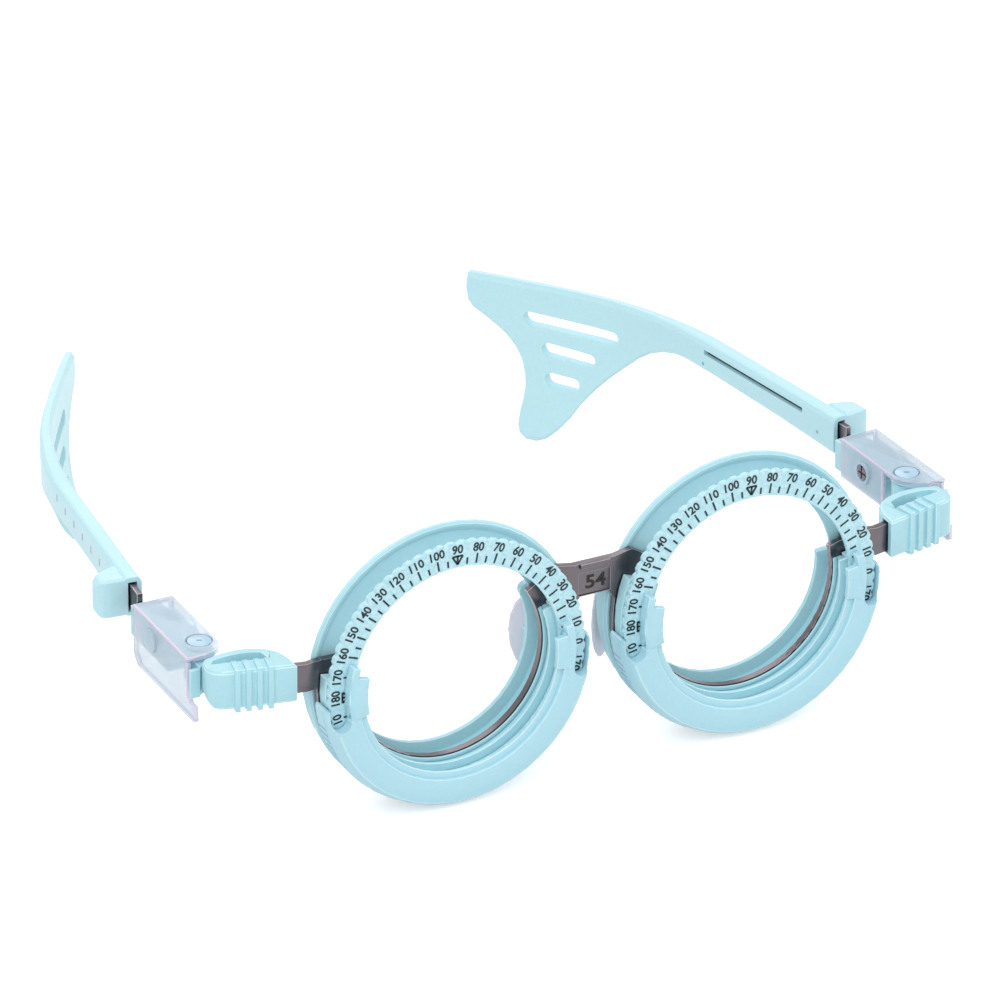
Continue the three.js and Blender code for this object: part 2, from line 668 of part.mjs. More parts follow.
// Rotating lens holder
function lensHolder(name) {
  const lipFront = HOLDER_FRONT + HOLDER_LIP_SET_BACK;
  const lipBack = lipFront + HOLDER_LIP_THICKNESS;
  const coneFront = HOLDER_FRONT + HOLDER_EDGE_ROUND;
  const coneBack = HOLDER_BACK + HOLDER_CHAMFER_RUN;
  const coneRadius = (depth) => {
    const share = (coneBack - depth) / (coneBack - coneFront);
    return HOLDER_OUTER_RADIUS - HOLDER_CHAMFER * share;
  };
  const reach = HOLDER_OUTER_RADIUS;
  const crescent = ring([
    [HOLDER_INNER_RADIUS, HOLDER_FRONT],
    [coneRadius(coneFront) - HOLDER_EDGE_ROUND, HOLDER_FRONT],
    [coneRadius(coneFront), coneFront],
    [HOLDER_OUTER_RADIUS, coneBack],
    [HOLDER_OUTER_RADIUS, SKIRT_BACK],
    [SKIRT_INNER_RADIUS, SKIRT_BACK],
    [SKIRT_INNER_RADIUS, HOLDER_BACK],
    [GROOVE_RADIUS, HOLDER_BACK],
    [GROOVE_RADIUS, lipBack],
    [HOLDER_LIP_RADIUS, lipBack],
    [HOLDER_LIP_RADIUS, lipFront],
    [HOLDER_INNER_RADIUS, lipFront],
  ]).intersect(wedge(reach, HOLDER_START, HOLDER_END, HOLDER_FRONT, SKIRT_BACK));
  const skirtFront = HOLDER_BACK - SKIRT_RISE;
  const skirt = ring([
    [SKIRT_INNER_RADIUS, skirtFront],
    [coneRadius(skirtFront), skirtFront],
    [HOLDER_OUTER_RADIUS, coneBack],
    [HOLDER_OUTER_RADIUS, SKIRT_BACK],
    [SKIRT_INNER_RADIUS, SKIRT_BACK],
  ]).intersect(wedge(reach, SKIRT_START, SKIRT_END, HOLDER_FRONT, SKIRT_BACK));
  const windowRadius = (FINGER_WINDOW_RADIUS + SKIRT_INNER_RADIUS) / 2;
  const windowHalf = (SKIRT_INNER_RADIUS - FINGER_WINDOW_RADIUS) / 2;
  const windows = [HOLDER_START, HOLDER_END].map((angle) => {
    const [x, z] = polar(windowRadius, angle);
    return barAlong("y", windowHalf, HOLDER_FRONT - OVERRUN, HOLDER_BACK + OVERRUN, x, z);
  });
  const fingers = [
    [FINGER_TIP_START, HOLDER_START, 1],
    [HOLDER_END, FINGER_TIP_END, -1],
  ].flatMap(([start, end, tip]) => {
    const narrowStart = tip > 0 ? start - FINGER_NARROW_SPAN : start;
    const narrowEnd = tip > 0 ? end : end + FINGER_NARROW_SPAN;
    return [
      sector(FINGER_NARROW_RADIUS, FINGER_WINDOW_RADIUS, start, end, HOLDER_FRONT, HOLDER_BACK),
      sector(FINGER_TIP_RADIUS, GROOVE_RADIUS, narrowStart, narrowEnd, HOLDER_FRONT, lipBack),
      sector(GROOVE_RADIUS, FINGER_WINDOW_RADIUS, narrowStart, narrowEnd, HOLDER_FRONT, HOLDER_BACK),
    ];
  });
  return piece(name, join([cut(crescent, windows), skirt, ...fingers, knurl()]), paleTeal);
}

// Fine teeth round the holder's skirt, for the thumb
function knurl() {
  const pitch = FULL_TURN / KNURL_COUNT;
  const count = Math.floor((SKIRT_START - SKIRT_END) / pitch);
  const teeth = Array.from({ length: count }, (_, i) => [
    polar(HOLDER_OUTER_RADIUS, SKIRT_START - i * pitch),
    polar(HOLDER_OUTER_RADIUS + KNURL_HEIGHT, SKIRT_START - (i + 0.5) * pitch),
  ]).flat();
  const last = SKIRT_START - count * pitch;
  const inner = Array.from({ length: RING_SEGMENTS / 2 + 1 }, (_, i) =>
    polar(
      (SKIRT_INNER_RADIUS + HOLDER_OUTER_RADIUS) / 2,
      lerp(last, SKIRT_START, i / (RING_SEGMENTS / 2)),
    ),
  );
  const outline = [...teeth, polar(HOLDER_OUTER_RADIUS, last), ...inner];
  return uprightPlate(shapeOf(outline), KNURL_SET_BACK, SKIRT_BACK);
}

// Nose pad and bracket, drawn for the +X side
function nosePad(name) {
  const geometry = new THREE.SphereGeometry(0.5, PIN_SEGMENTS, PIN_SEGMENTS / 2);
  geometry.scale(NOSE_PAD_WIDTH, NOSE_PAD_THICKNESS, NOSE_PAD_HEIGHT);
  geometry.rotateZ(degToRad(NOSE_PAD_TURN)).translate(NOSE_PAD_X, NOSE_PAD_Y, NOSE_PAD_Z);
  return piece(name, solidOf(geometry), silicone);
}

function nosePadBracket(name) {
  const low = [BRACKET_X - BRACKET_WIDTH / 2, REAR_CELL_BACK + GAP, NOSE_PAD_Z - BRACKET_HEIGHT / 2];
  const high = [BRACKET_X + BRACKET_WIDTH / 2, NOSE_PAD_Y, NOSE_PAD_Z + BRACKET_HEIGHT / 2];
  const clear = new THREE.SphereGeometry(0.5, PIN_SEGMENTS, PIN_SEGMENTS / 2);
  clear.scale(NOSE_PAD_WIDTH + GAP * 2, NOSE_PAD_THICKNESS + GAP * 2, NOSE_PAD_HEIGHT + GAP * 2);
  clear.rotateZ(degToRad(NOSE_PAD_TURN)).translate(NOSE_PAD_X, NOSE_PAD_Y, NOSE_PAD_Z);
  const parts = boxBetween(low, high).subtract(solidOf(clear)).decompose();
  const nearest = parts.reduce((best, next) =>
    next.boundingBox().min[1] < best.boundingBox().min[1] ? next : best,
  );
  return piece(name, nearest, mouldedTeal);
}

// The curve of the slider's back, from its outer end round to the block
function sliderBack() {
  const places = SLIDER_BACK_SHARES.map(
    ([along, back]) => new THREE.Vector2(along * SLIDER_LENGTH, back * SLIDER_ARCH),
  );
  return new THREE.SplineCurve(places).getPoints(SLIDER_BACK_SHARES.length * 2);
}

function sliderOutline() {
  const outline = new THREE.Shape();
  outline.moveTo(0, 0);
  outline.lineTo(SLIDER_LENGTH - SLIDER_CORNER, 0);
  outline.absarc(SLIDER_LENGTH - SLIDER_CORNER, SLIDER_CORNER, SLIDER_CORNER, -TURN / 4, 0, false);
  sliderBack().forEach((point) => outline.lineTo(point.x, point.y));
  return outline;
}

// Width slider, drawn along its front for the +X side
function widthSlider(name) {
  const top = SLIDER_BOTTOM + SLIDER_HEIGHT;
  const body = flatPlate(sliderOutline(), SLIDER_BOTTOM, top, SLIDER_EDGE);
  const inner = SLIDER_BLOCK;
  const outer = SLIDER_BLOCK + SLIDER_OPENING;
  const roundOff = (from, to, floor, wall) => {
    const back = sliderBack().filter((point) => point.x > from && point.x < to);
    const points = back.map((point) => [point.x, point.y - SLIDER_ARCH_WALL]);
    return flatPlate(shapeOf([[from, wall], [to, wall], ...points]), floor, top + OVERRUN);
  };
  const opening = roundOff(inner, outer, SLIDER_BOTTOM - OVERRUN, SLIDER_WALL);
  const recess = roundOff(inner, outer + SLIDER_RECESS, top - SLIDER_RECESS_DEPTH, SLIDER_WALL);
  const armWay = boxBetween(
    [-OVERRUN, ARM_FRONT - GAP, ARM_BOTTOM - GAP],
    [SLIDER_LENGTH - SLIDER_END_WALL, ARM_BACK + GAP, ARM_BOTTOM + ARM_HEIGHT + GAP],
  );
  const ribs = Array.from({ length: RIB_COUNT }, (_, i) => {
    const middle = inner + RIB_WIDTH / 2 + i * RIB_PITCH;
    const low = middle - RIB_WIDTH / 2;
    const high = middle + RIB_WIDTH / 2;
    return boxBetween(
      [low, -RIB_PROUD, SLIDER_BOTTOM - RIB_PROUD],
      [high, SLIDER_WALL - RIB_PROUD, top + RIB_PROUD],
    );
  });
  const corner = SLIDER_SHOULDER_ROUND;
  const end = new THREE.Shape();
  end.moveTo(-OVERRUN, top + OVERRUN);
  end.lineTo(-OVERRUN, SLIDER_BOTTOM - OVERRUN);
  end.lineTo(SLIDER_LENGTH - corner, SLIDER_BOTTOM - OVERRUN);
  end.lineTo(SLIDER_LENGTH - corner, SLIDER_BOTTOM);
  end.absarc(SLIDER_LENGTH - corner, SLIDER_BOTTOM + corner, corner, -TURN / 4, 0, false);
  end.lineTo(SLIDER_LENGTH, top + OVERRUN);
  const envelope = uprightPlate(end, -OVERRUN, SLIDER_ARCH + OVERRUN);
  const shell = join([body.intersect(envelope), ...ribs]);
  return piece(name, wrapped(cut(shell, [opening, recess, armWay])), mouldedTeal);
}

// Hinge post: a lug behind the slider's outer end, and an arm back to the knuckle round the fold pin
function hingePost(name) {
  const post = flatPlate(
    shapeOf([
      [PIVOT_X + POST_INNER, PIVOT_Y - POST_REACH],
      [PIVOT_X + POST_OUTER, PIVOT_Y - POST_REACH],
      [PIVOT_X + POST_OUTER, PIVOT_Y - KNUCKLE_RADIUS / 2],
      [PIVOT_X + POST_INNER, PIVOT_Y],
    ]),
    POST_BOTTOM,
    POST_TOP,
  );
  const front = PIVOT_Y + COVER_FRONT - POST_LUG_GAP - POST_LUG_THICKNESS;
  const lug = boxBetween(
    [PIVOT_X + POST_INNER, front, POST_BOTTOM],
    [PIVOT_X + POST_LUG, front + POST_LUG_THICKNESS, POST_TOP],
  );
  const knuckle = barAlong("z", KNUCKLE_RADIUS, POST_BOTTOM, POST_TOP, PIVOT_X, PIVOT_Y);
  const bore = barAlong(
    "z",
    FOLD_PIN_RADIUS + GAP,
    POST_BOTTOM - OVERRUN,
    POST_TOP + OVERRUN,
    PIVOT_X,
    PIVOT_Y,
  );
  const clear = [
    [0, 0],
    [GAP, GAP],
  ].map(([x, y]) => {
    const slider = flatPlate(sliderOutline(), SLIDER_BOTTOM - OVERRUN, POST_TOP + OVERRUN);
    return wrapped(slider.translate(x, y, 0));
  });
  return piece(name, cut(join([post, lug, knuckle]), [bore, ...clear]), mouldedTeal);
}

function foldPin(name) {
  const seat = COVER_TOP - FOLD_PIN_HEAD;
  const shank = barAlong("z", FOLD_PIN_RADIUS, POST_BOTTOM, seat, PIVOT_X, PIVOT_Y);
  const head = barAlong("z", FOLD_PIN_HEAD_RADIUS, seat, COVER_TOP, PIVOT_X, PIVOT_Y, RING_SEGMENTS / 2);
  return piece(name, shank.add(head), mouldedTeal);
}

// Clear cover, about the fold pin's axis
function clearCover(name) {
  const top = new THREE.Shape();
  top.moveTo(COVER_OUTER, COVER_FRONT);
  top.lineTo(COVER_OUTER, COVER_BACK);
  top.lineTo(COVER_INNER, COVER_BACK);
  top.lineTo(COVER_INNER, COVER_FRONT + COVER_NOSE_RADIUS);
  top.absarc(
    COVER_INNER + COVER_NOSE_RADIUS,
    COVER_FRONT + COVER_NOSE_RADIUS,
    COVER_NOSE_RADIUS,
    TURN / 2,
    (TURN * 3) / 4,
    false,
  );
  const roof = flatPlate(top, COVER_UNDERSIDE, COVER_TOP);
  const pad = barAlong("z", -COVER_INNER, COVER_UNDERSIDE - COVER_PIVOT_PAD, COVER_TOP - COVER_WALL / 2, 0, 0);
  const innerPlate = boxBetween(
    [COVER_INNER, COVER_INNER_FRONT, COVER_INNER_BOTTOM],
    [COVER_INNER + COVER_WALL, COVER_BACK, COVER_TOP - COVER_WALL / 2],
  );
  const tabFront = COVER_FRONT - COVER_TAB_REACH;
  const outerPlate = sidePlate(
    shapeOf([
      [COVER_FRONT, COVER_TOP - COVER_WALL / 2],
      [COVER_FRONT, COVER_TAB_TOP + COVER_TAB_SLOPE],
      [COVER_FRONT - COVER_TAB_SLOPE, COVER_TAB_TOP],
      [tabFront, COVER_TAB_TOP],
      [tabFront, COVER_OUTER_BOTTOM + COVER_TAB_SLOPE],
      [tabFront + COVER_TAB_SLOPE, COVER_OUTER_BOTTOM],
      [COVER_BACK - COVER_BACK_CORNER, COVER_OUTER_BOTTOM],
      [COVER_BACK, COVER_OUTER_BOTTOM + COVER_BACK_CORNER],
      [COVER_BACK, COVER_TOP - COVER_WALL / 2],
    ]),
    COVER_OUTER - COVER_WALL,
    COVER_OUTER,
  );
  const bosses = [
    [COVER_OUTER - COVER_WALL / 2, COVER_OUTER + COVER_BOSS_PROUD],
    [COVER_INNER - COVER_BOSS_PROUD, COVER_INNER + COVER_WALL / 2],
  ].map(([from, to]) => barAlong("x", COVER_BOSS_RADIUS, from, to, TILT_Y, TILT_Z, RING_SEGMENTS / 2));
  const seat = COVER_TOP - FOLD_PIN_HEAD - GAP;
  const headWay = barAlong(
    "z",
    FOLD_PIN_HEAD_RADIUS + GAP,
    seat,
    COVER_TOP + OVERRUN,
    0,
    0,
    RING_SEGMENTS / 2,
  );
  const pinWay = barAlong("z", FOLD_PIN_RADIUS + GAP, COVER_UNDERSIDE - OVERRUN, COVER_TOP, 0, 0);
  const screwWay = barAlong(
    "x",
    TILT_SCREW_RADIUS + GAP,
    COVER_INNER - OVERRUN,
    COVER_OUTER - COVER_WALL / 3,
    TILT_Y,
    TILT_Z,
  );
  const capWay = barAlong(
    "x",
    TILT_SCREW_HEAD_RADIUS + GAP,
    COVER_INNER - OVERRUN,
    COVER_INNER + TILT_SCREW_SEAT,
    TILT_Y,
    TILT_Z,
  );
  const shell = join([roof, pad, innerPlate, outerPlate, ...bosses]);
  return piece(name, cut(shell, [headWay, pinWay, screwWay, capWay]), clearPlastic);
}

function tiltScrew(name) {
  const head = COVER_INNER + TILT_SCREW_SEAT - GAP;
  const tip = COVER_OUTER - COVER_WALL / 2 - GAP;
  const shank = barAlong("x", TILT_SCREW_RADIUS, head - TILT_SCREW_HEAD / 2, tip, TILT_Y, TILT_Z);
  const cap = barAlong("x", TILT_SCREW_HEAD_RADIUS, head - TILT_SCREW_HEAD, head, TILT_Y, TILT_Z);
  const reach = TILT_SCREW_HEAD_RADIUS + OVERRUN;
  const slots = [
    [SCREW_SLOT_WIDTH / 2, reach],
    [reach, SCREW_SLOT_WIDTH / 2],
  ].map(([halfY, halfZ]) =>
    boxBetween(
      [head - TILT_SCREW_HEAD - OVERRUN, TILT_Y - halfY, TILT_Z - halfZ],
      [head - TILT_SCREW_HEAD / 2, TILT_Y + halfY, TILT_Z + halfZ],
    ),
  );
  return piece(name, cut(shank.add(cap), slots), darkMetal);
}

// Tilt block, about the fold pin's axis; its crowned top lets it rock under the cover
function tiltBlock(name) {
  const top = BLOCK_TOP;
  const body = sidePlate(
    shapeOf([
      [BLOCK_FRONT, BLOCK_BOTTOM + BLOCK_CORNER],
      [BLOCK_FRONT + BLOCK_CORNER, BLOCK_BOTTOM],
      [BLOCK_BACK, BLOCK_BOTTOM],
      [BLOCK_BACK, top - BLOCK_CROWN_DROP],
      [TILT_Y + BLOCK_CORNER, top],
      [TILT_Y - BLOCK_CORNER, top],
      [BLOCK_FRONT + BLOCK_CORNER, top - BLOCK_CROWN_DROP],
      [BLOCK_FRONT, top - BLOCK_CROWN_DROP - BLOCK_CORNER],
    ]),
    COVER_INNER + COVER_WALL + GAP,
    COVER_OUTER - COVER_WALL - GAP,
  );
  const screwWay = barAlong("x", TILT_SCREW_RADIUS + GAP, COVER_INNER, COVER_OUTER, TILT_Y, TILT_Z);
  const stripWay = placedOnCover(stripSolid(GAP));
  return piece(name, cut(body, [screwWay, stripWay]), mouldedTeal);
}

// A solid drawn about the temple's front end, moved to where the temple starts behind the cover
function placedOnCover(solid) {
  return solid.rotate([0, 0, TEMPLE_TOE_IN]).translate([TEMPLE_X, TEMPLE_Y, 0]);
}

const barBottomAt = (along) => BAR_BOTTOM + BAR_TAPER * Math.max(0, along / BAR_LENGTH);

function stripSolid(grow) {
  const top = BAR_TOP - STRIP_TOP_COVER + grow;
  const low = (along) => barBottomAt(along) + STRIP_BOTTOM_COVER - grow;
  const half = STRIP_THICKNESS / 2 + grow;
  const step = BLOCK_BACK + GAP - TEMPLE_Y - grow;
  return sidePlate(
    shapeOf([
      [STRIP_ROOT - grow, low(0)],
      [0, low(0)],
      [STRIP_TIP + grow, low(STRIP_TIP)],
      [STRIP_TIP + grow, top],
      [step, top],
      [step, STRIP_TONGUE_TOP + grow],
      [STRIP_ROOT - grow, STRIP_TONGUE_TOP + grow],
    ]),
    -half,
    half,
  );
}

// Where the temple's middle line runs and which way it heads: straight, then two bends inwards
function templePath(along) {
  const run = Math.max(0, along - BAR_LENGTH);
  const first = Math.min(run, FAN_BEND_LENGTH) / FAN_BEND_RADIUS;
  const heading = first + Math.max(0, run - FAN_BEND_LENGTH) / FAN_TIP_RADIUS;
  const nearX = FAN_BEND_RADIUS * (1 - Math.cos(first));
  const nearY = FAN_BEND_RADIUS * Math.sin(first);
  const farX = FAN_TIP_RADIUS * (Math.cos(first) - Math.cos(heading));
  const farY = FAN_TIP_RADIUS * (Math.sin(heading) - Math.sin(first));
  return { x: -nearX - farX, y: Math.min(along, BAR_LENGTH) + nearY + farY, heading };
}

// A point of the temple: how far along it, how high, and how far out from its middle surface
function templePoint(along, z, out) {
  const { x, y, heading } = templePath(along);
  const leaning = Math.tan(degToRad(FAN_LEAN)) * smoothstep(along, BAR_LENGTH, BAR_LENGTH + FAN_BEND_LENGTH);
  const down = Math.max(0, BAR_TOP - z);
  const offset = out - (leaning * down * down) / FAN_DEPTH;
  return new THREE.Vector3(x + offset * Math.cos(heading), y + offset * Math.sin(heading), z);
}

const topAt = (along) => {
  const share = Math.max(0, along - BAR_LENGTH) / FAN_LENGTH;
  return BAR_TOP - FAN_TIP_DROP * share * share;
};

function thicknessAt(along) {
  return lerp(BAR_THICKNESS, FAN_THICKNESS, smoothstep(along, BAR_LENGTH, BAR_LENGTH + FAN_BEND_LENGTH));
}

// Temple body: rows across the plate, lofted from the front end to the fan's tip
function templeLoft() {
  const stations = [
    [0, barBottomAt(0), 0],
    [BAR_LENGTH / 2, barBottomAt(BAR_LENGTH / 2), BAR_LENGTH / 2],
    ...FAN_STATION_SHARES.map(([low, down, high]) => [
      BAR_LENGTH + low * FAN_LENGTH,
      BAR_TOP - down * FAN_DEPTH,
      BAR_LENGTH + high * FAN_LENGTH,
    ]),
  ];
  const rings = stations.map(([lowAlong, lowZ, highAlong]) => {
    const highZ = topAt(highAlong);
    const height = Math.hypot(highAlong - lowAlong, highZ - lowZ);
    const rows = EDGE_ROUND_SHARES.map(([inset, drop]) => [(BAR_EDGE_INSET * inset) / height, BAR_EDGE * drop]);
    const [rowIn] = rows.at(-1);
    const middle = Array.from({ length: FAN_STATIONS_ACROSS - 1 }, (_, i) => [
      lerp(rowIn, 1 - rowIn, (i + 1) / FAN_STATIONS_ACROSS),
      0,
    ]);
    const across = [...rows, ...middle, ...rows.map(([share, drop]) => [1 - share, drop]).reverse()];
    const face = (side) =>
      across.map(([share, drop]) => {
        const along = lerp(lowAlong, highAlong, share);
        const half = thicknessAt(along) / 2;
        return templePoint(along, lerp(lowZ, highZ, share), side * (half - Math.min(drop, half / 2)));
      });
    return [...face(1), ...face(-1).reverse()];
  });
  return loft(rings);
}

// A closed body through rings of the same number of points, with flat ends
function loft(rings) {
  const count = rings[0].length;
  const positions = rings.flat().flatMap((point) => [point.x, point.y, point.z]);
  const faces = [];
  rings.slice(1).forEach((_, r) => {
    for (let i = 0; i < count; i++) {
      const next = (i + 1) % count;
      const a = r * count + i;
      const b = r * count + next;
      faces.push(a, a + count, b, b, a + count, b + count);
    }
  });
  const last = (rings.length - 1) * count;
  for (let i = 0; i < count / 2 - 1; i++) {
    const mirror = count - 1 - i;
    faces.push(i, i + 1, mirror, i + 1, mirror - 1, mirror);
    faces.push(last + i, last + mirror, last + i + 1, last + i + 1, last + mirror, last + mirror - 1);
  }
  const geometry = new THREE.BufferGeometry();
  geometry.setAttribute("position", new THREE.Float32BufferAttribute(positions, 3));
  geometry.setIndex(faces);
  return solidOf(geometry);
}

// A round-ended slot through the fan between two places on its surface
function fanSlot([fromShare, fromDown, toShare, toDown]) {
  const place = (share, down, out) =>
    templePoint(BAR_LENGTH + share * FAN_LENGTH, BAR_TOP - down * FAN_DEPTH, out);
  const start = place(fromShare, fromDown, 0);
  const end = place(toShare, toDown, 0);
  const middleShare = (fromShare + toShare) / 2;
  const middleDown = (fromDown + toDown) / 2;
  const along = end.clone().sub(start);
  const length = along.length();
  along.normalize();
  const outward = place(middleShare, middleDown, 1).sub(place(middleShare, middleDown, 0)).normalize();
  const up = new THREE.Vector3().crossVectors(outward, along).normalize();
  const through = new THREE.Vector3().crossVectors(along, up).normalize();
  const half = FAN_SLOT_WIDTH / 2;
  const shape = new THREE.Shape();
  shape.absarc(-length / 2 + half, 0, half, TURN / 4, (TURN * 3) / 4, false);
  shape.absarc(length / 2 - half, 0, half, -TURN / 4, TURN / 4, false);
  const reach = BAR_THICKNESS;
  const geometry = new THREE.ExtrudeGeometry(shape, {
    depth: reach * 2,
    bevelEnabled: false,
    curveSegments: CORNER_SEGMENTS,
  }).translate(0, 0, -reach);
  const centre = start.clone().add(end).divideScalar(2);
  geometry.applyMatrix4(new THREE.Matrix4().makeBasis(along, up, through).setPosition(centre));
  return solidOf(geometry);
}

function temple(name) {
  const face = BAR_THICKNESS / 2;
  const low = (along) => barBottomAt(along) + STRIP_BOTTOM_COVER - GAP;
  const high = BAR_TOP - STRIP_TOP_COVER + GAP;
  const pocket = sidePlate(
    shapeOf([
      [-OVERRUN, low(0)],
      [0, low(0)],
      [POCKET_END, low(POCKET_END)],
      [POCKET_END, high],
      [-OVERRUN, high],
    ]),
    -STRIP_THICKNESS / 2 - GAP,
    STRIP_THICKNESS / 2 + GAP,
  );
  const slit = boxBetween(
    [-face - OVERRUN, SLIT_START, SLIT_Z - SLIT_WIDTH / 2],
    [0, SLIT_END, SLIT_Z + SLIT_WIDTH / 2],
  );
  const slots = FAN_SLOT_SHARES.map(fanSlot);
  return piece(name, cut(templeLoft().add(thumbPad()), [pocket, slit, ...slots]), mouldedTeal);
}

// Rounded pad on the outer side of the temple's front end, for the thumb
function thumbPad() {
  const face = BAR_THICKNESS / 2;
  const root = STRIP_THICKNESS / 2 + GAP * 2;
  const plan = new THREE.Shape();
  plan.moveTo(root, 0);
  plan.lineTo(face + THUMB_REACH / 2, 0);
  plan.quadraticCurveTo(face + THUMB_REACH, 0, face + THUMB_REACH, THUMB_LENGTH / 3);
  plan.quadraticCurveTo(face + THUMB_REACH, (THUMB_LENGTH * 2) / 3, face, THUMB_LENGTH);
  plan.lineTo(root, THUMB_LENGTH);
  const end = new THREE.Shape();
  const far = face + THUMB_REACH - THUMB_ROUND;
  end.moveTo(0, BAR_TOP);
  end.lineTo(0, BAR_BOTTOM);
  end.absarc(far, BAR_BOTTOM + THUMB_ROUND, THUMB_ROUND, -TURN / 4, 0, false);
  end.absarc(far, BAR_TOP - THUMB_ROUND, THUMB_ROUND, 0, TURN / 4, false);
  const plate = flatPlate(plan, BAR_BOTTOM, BAR_TOP, BAR_EDGE / 2);
  return plate.intersect(uprightPlate(end, -OVERRUN, THUMB_LENGTH + OVERRUN));
}

// Assembly
const front = new THREE.Group();
front.add(chassis());

for (const [side, word] of [[-1, "right"], [1, "left"]]) {
  const cells = new THREE.Group();
  cells.position.x = side * EYE_X;
  cells.scale.x = -side;
  cells.add(rearCell(`rear_cell_${word}`), frontCell(`front_cell_${word}`));
  CELL_SCREW_ANGLES.forEach((angle, i) => cells.add(cellScrew(`cell_screw_${word}_${i + 1}`, angle)));
  front.add(cells);

  const turning = new THREE.Group();
  turning.position.x = side * EYE_X;
  turning.add(scaleRing(`scale_ring_${word}`), lensHolder(`lens_holder_${word}`));
  front.add(turning);

  const outward = new THREE.Group();
  outward.scale.x = side;
  outward.add(
    nosePad(`nose_pad_${word}`),
    nosePadBracket(`nose_pad_bracket_${word}`),
    widthSlider(`width_slider_${word}`),
    hingePost(`hinge_post_${word}`),
    foldPin(`fold_pin_${word}`),
  );
  const folding = new THREE.Group();
  folding.position.set(PIVOT_X, PIVOT_Y, 0);
  folding.rotation.z = degToRad(COVER_TOE_IN[word]);
  folding.add(
    clearCover(`clear_cover_${word}`),
    tiltScrew(`tilt_screw_${word}`),
    tiltBlock(`tilt_block_${word}`),
  );
  const sliding = new THREE.Group();
  sliding.position.set(TEMPLE_X, TEMPLE_Y, 0);
  sliding.rotation.z = degToRad(TEMPLE_TOE_IN);
  const arm = temple(`temple_${word}`);
  arm.position.y = TEMPLE_DRAWN_OUT[word];
  sliding.add(piece(`temple_strip_${word}`, stripSolid(0), darkMetal), arm);
  folding.add(sliding);
  outward.add(folding);
  front.add(outward);
}

// The origin is under the middle of the object, on the surface that it stands on.
const frame = new THREE.Group();
frame.add(front);
front.position.z = EYE_HEIGHT;
const box = new THREE.Box3().setFromObject(frame, true);
front.position.x = -(box.min.x + box.max.x) / 2;
front.position.y = -(box.min.y + box.max.y) / 2;

export default frame;
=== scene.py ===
"""Optical trial frame on a pale studio floor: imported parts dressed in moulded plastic, metal and print."""

from __future__ import annotations

import json
import logging
import math
from dataclasses import dataclass, field
from enum import Enum

import bmesh
import bpy
from mathutils import Matrix, Vector


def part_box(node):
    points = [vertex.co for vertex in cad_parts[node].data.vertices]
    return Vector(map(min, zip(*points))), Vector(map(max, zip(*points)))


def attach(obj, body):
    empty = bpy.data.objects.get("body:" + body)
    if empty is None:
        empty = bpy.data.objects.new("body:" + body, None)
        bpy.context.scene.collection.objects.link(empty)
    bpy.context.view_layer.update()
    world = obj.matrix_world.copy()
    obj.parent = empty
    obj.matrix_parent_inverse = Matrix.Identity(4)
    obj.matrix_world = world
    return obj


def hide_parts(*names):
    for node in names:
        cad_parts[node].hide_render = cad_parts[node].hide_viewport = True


logging.basicConfig(level=logging.INFO, format="%(message)s")
log = logging.getLogger("trial_frame")

MM = 0.001
SMOOTH_ANGLE = math.radians(32)
FULL_TURN = 360
HALF_TURN = 180
UPWARDS = Vector((0, 0, 1))
WHITE = (1.0, 1.0, 1.0, 1.0)


class Side(Enum):
    """The wearer's side of the frame."""

    RIGHT = "right"
    LEFT = "left"

    @property
    def sign(self) -> int:
        """Direction of this side along X."""
        return -1 if self is Side.RIGHT else 1


def linear(hex_code: str) -> tuple[float, float, float, float]:
    """Turn an sRGB hex colour into linear RGBA.

    Args:
        hex_code: colour as "#RRGGBB".

    Returns:
        The linear colour with alpha 1.
    """
    values = [int(hex_code[i : i + 2], 16) / 255 for i in (1, 3, 5)]
    red, green, blue = (v / 12.92 if v <= 0.04045 else ((v + 0.055) / 1.055) ** 2.4 for v in values)
    return (red, green, blue, 1.0)


def add_node(
    tree: bpy.types.NodeTree, kind: str, settings: dict | None = None, links: dict | None = None
) -> bpy.types.Node:
    """Add a node with its settings and its input links.

    Args:
        tree: node tree that takes the node.
        kind: Blender's node type.
        settings: socket names or attributes to values.
        links: input socket names to output sockets.

    Returns:
        The new node.
    """
    node = tree.nodes.new(kind)
    for key, value in (settings or {}).items():
        if isinstance(key, int) or key in node.inputs:
            node.inputs[key].default_value = value
        else:
            setattr(node, key, value)
    for key, socket in (links or {}).items():
        tree.links.new(socket, node.inputs[key])
    return node


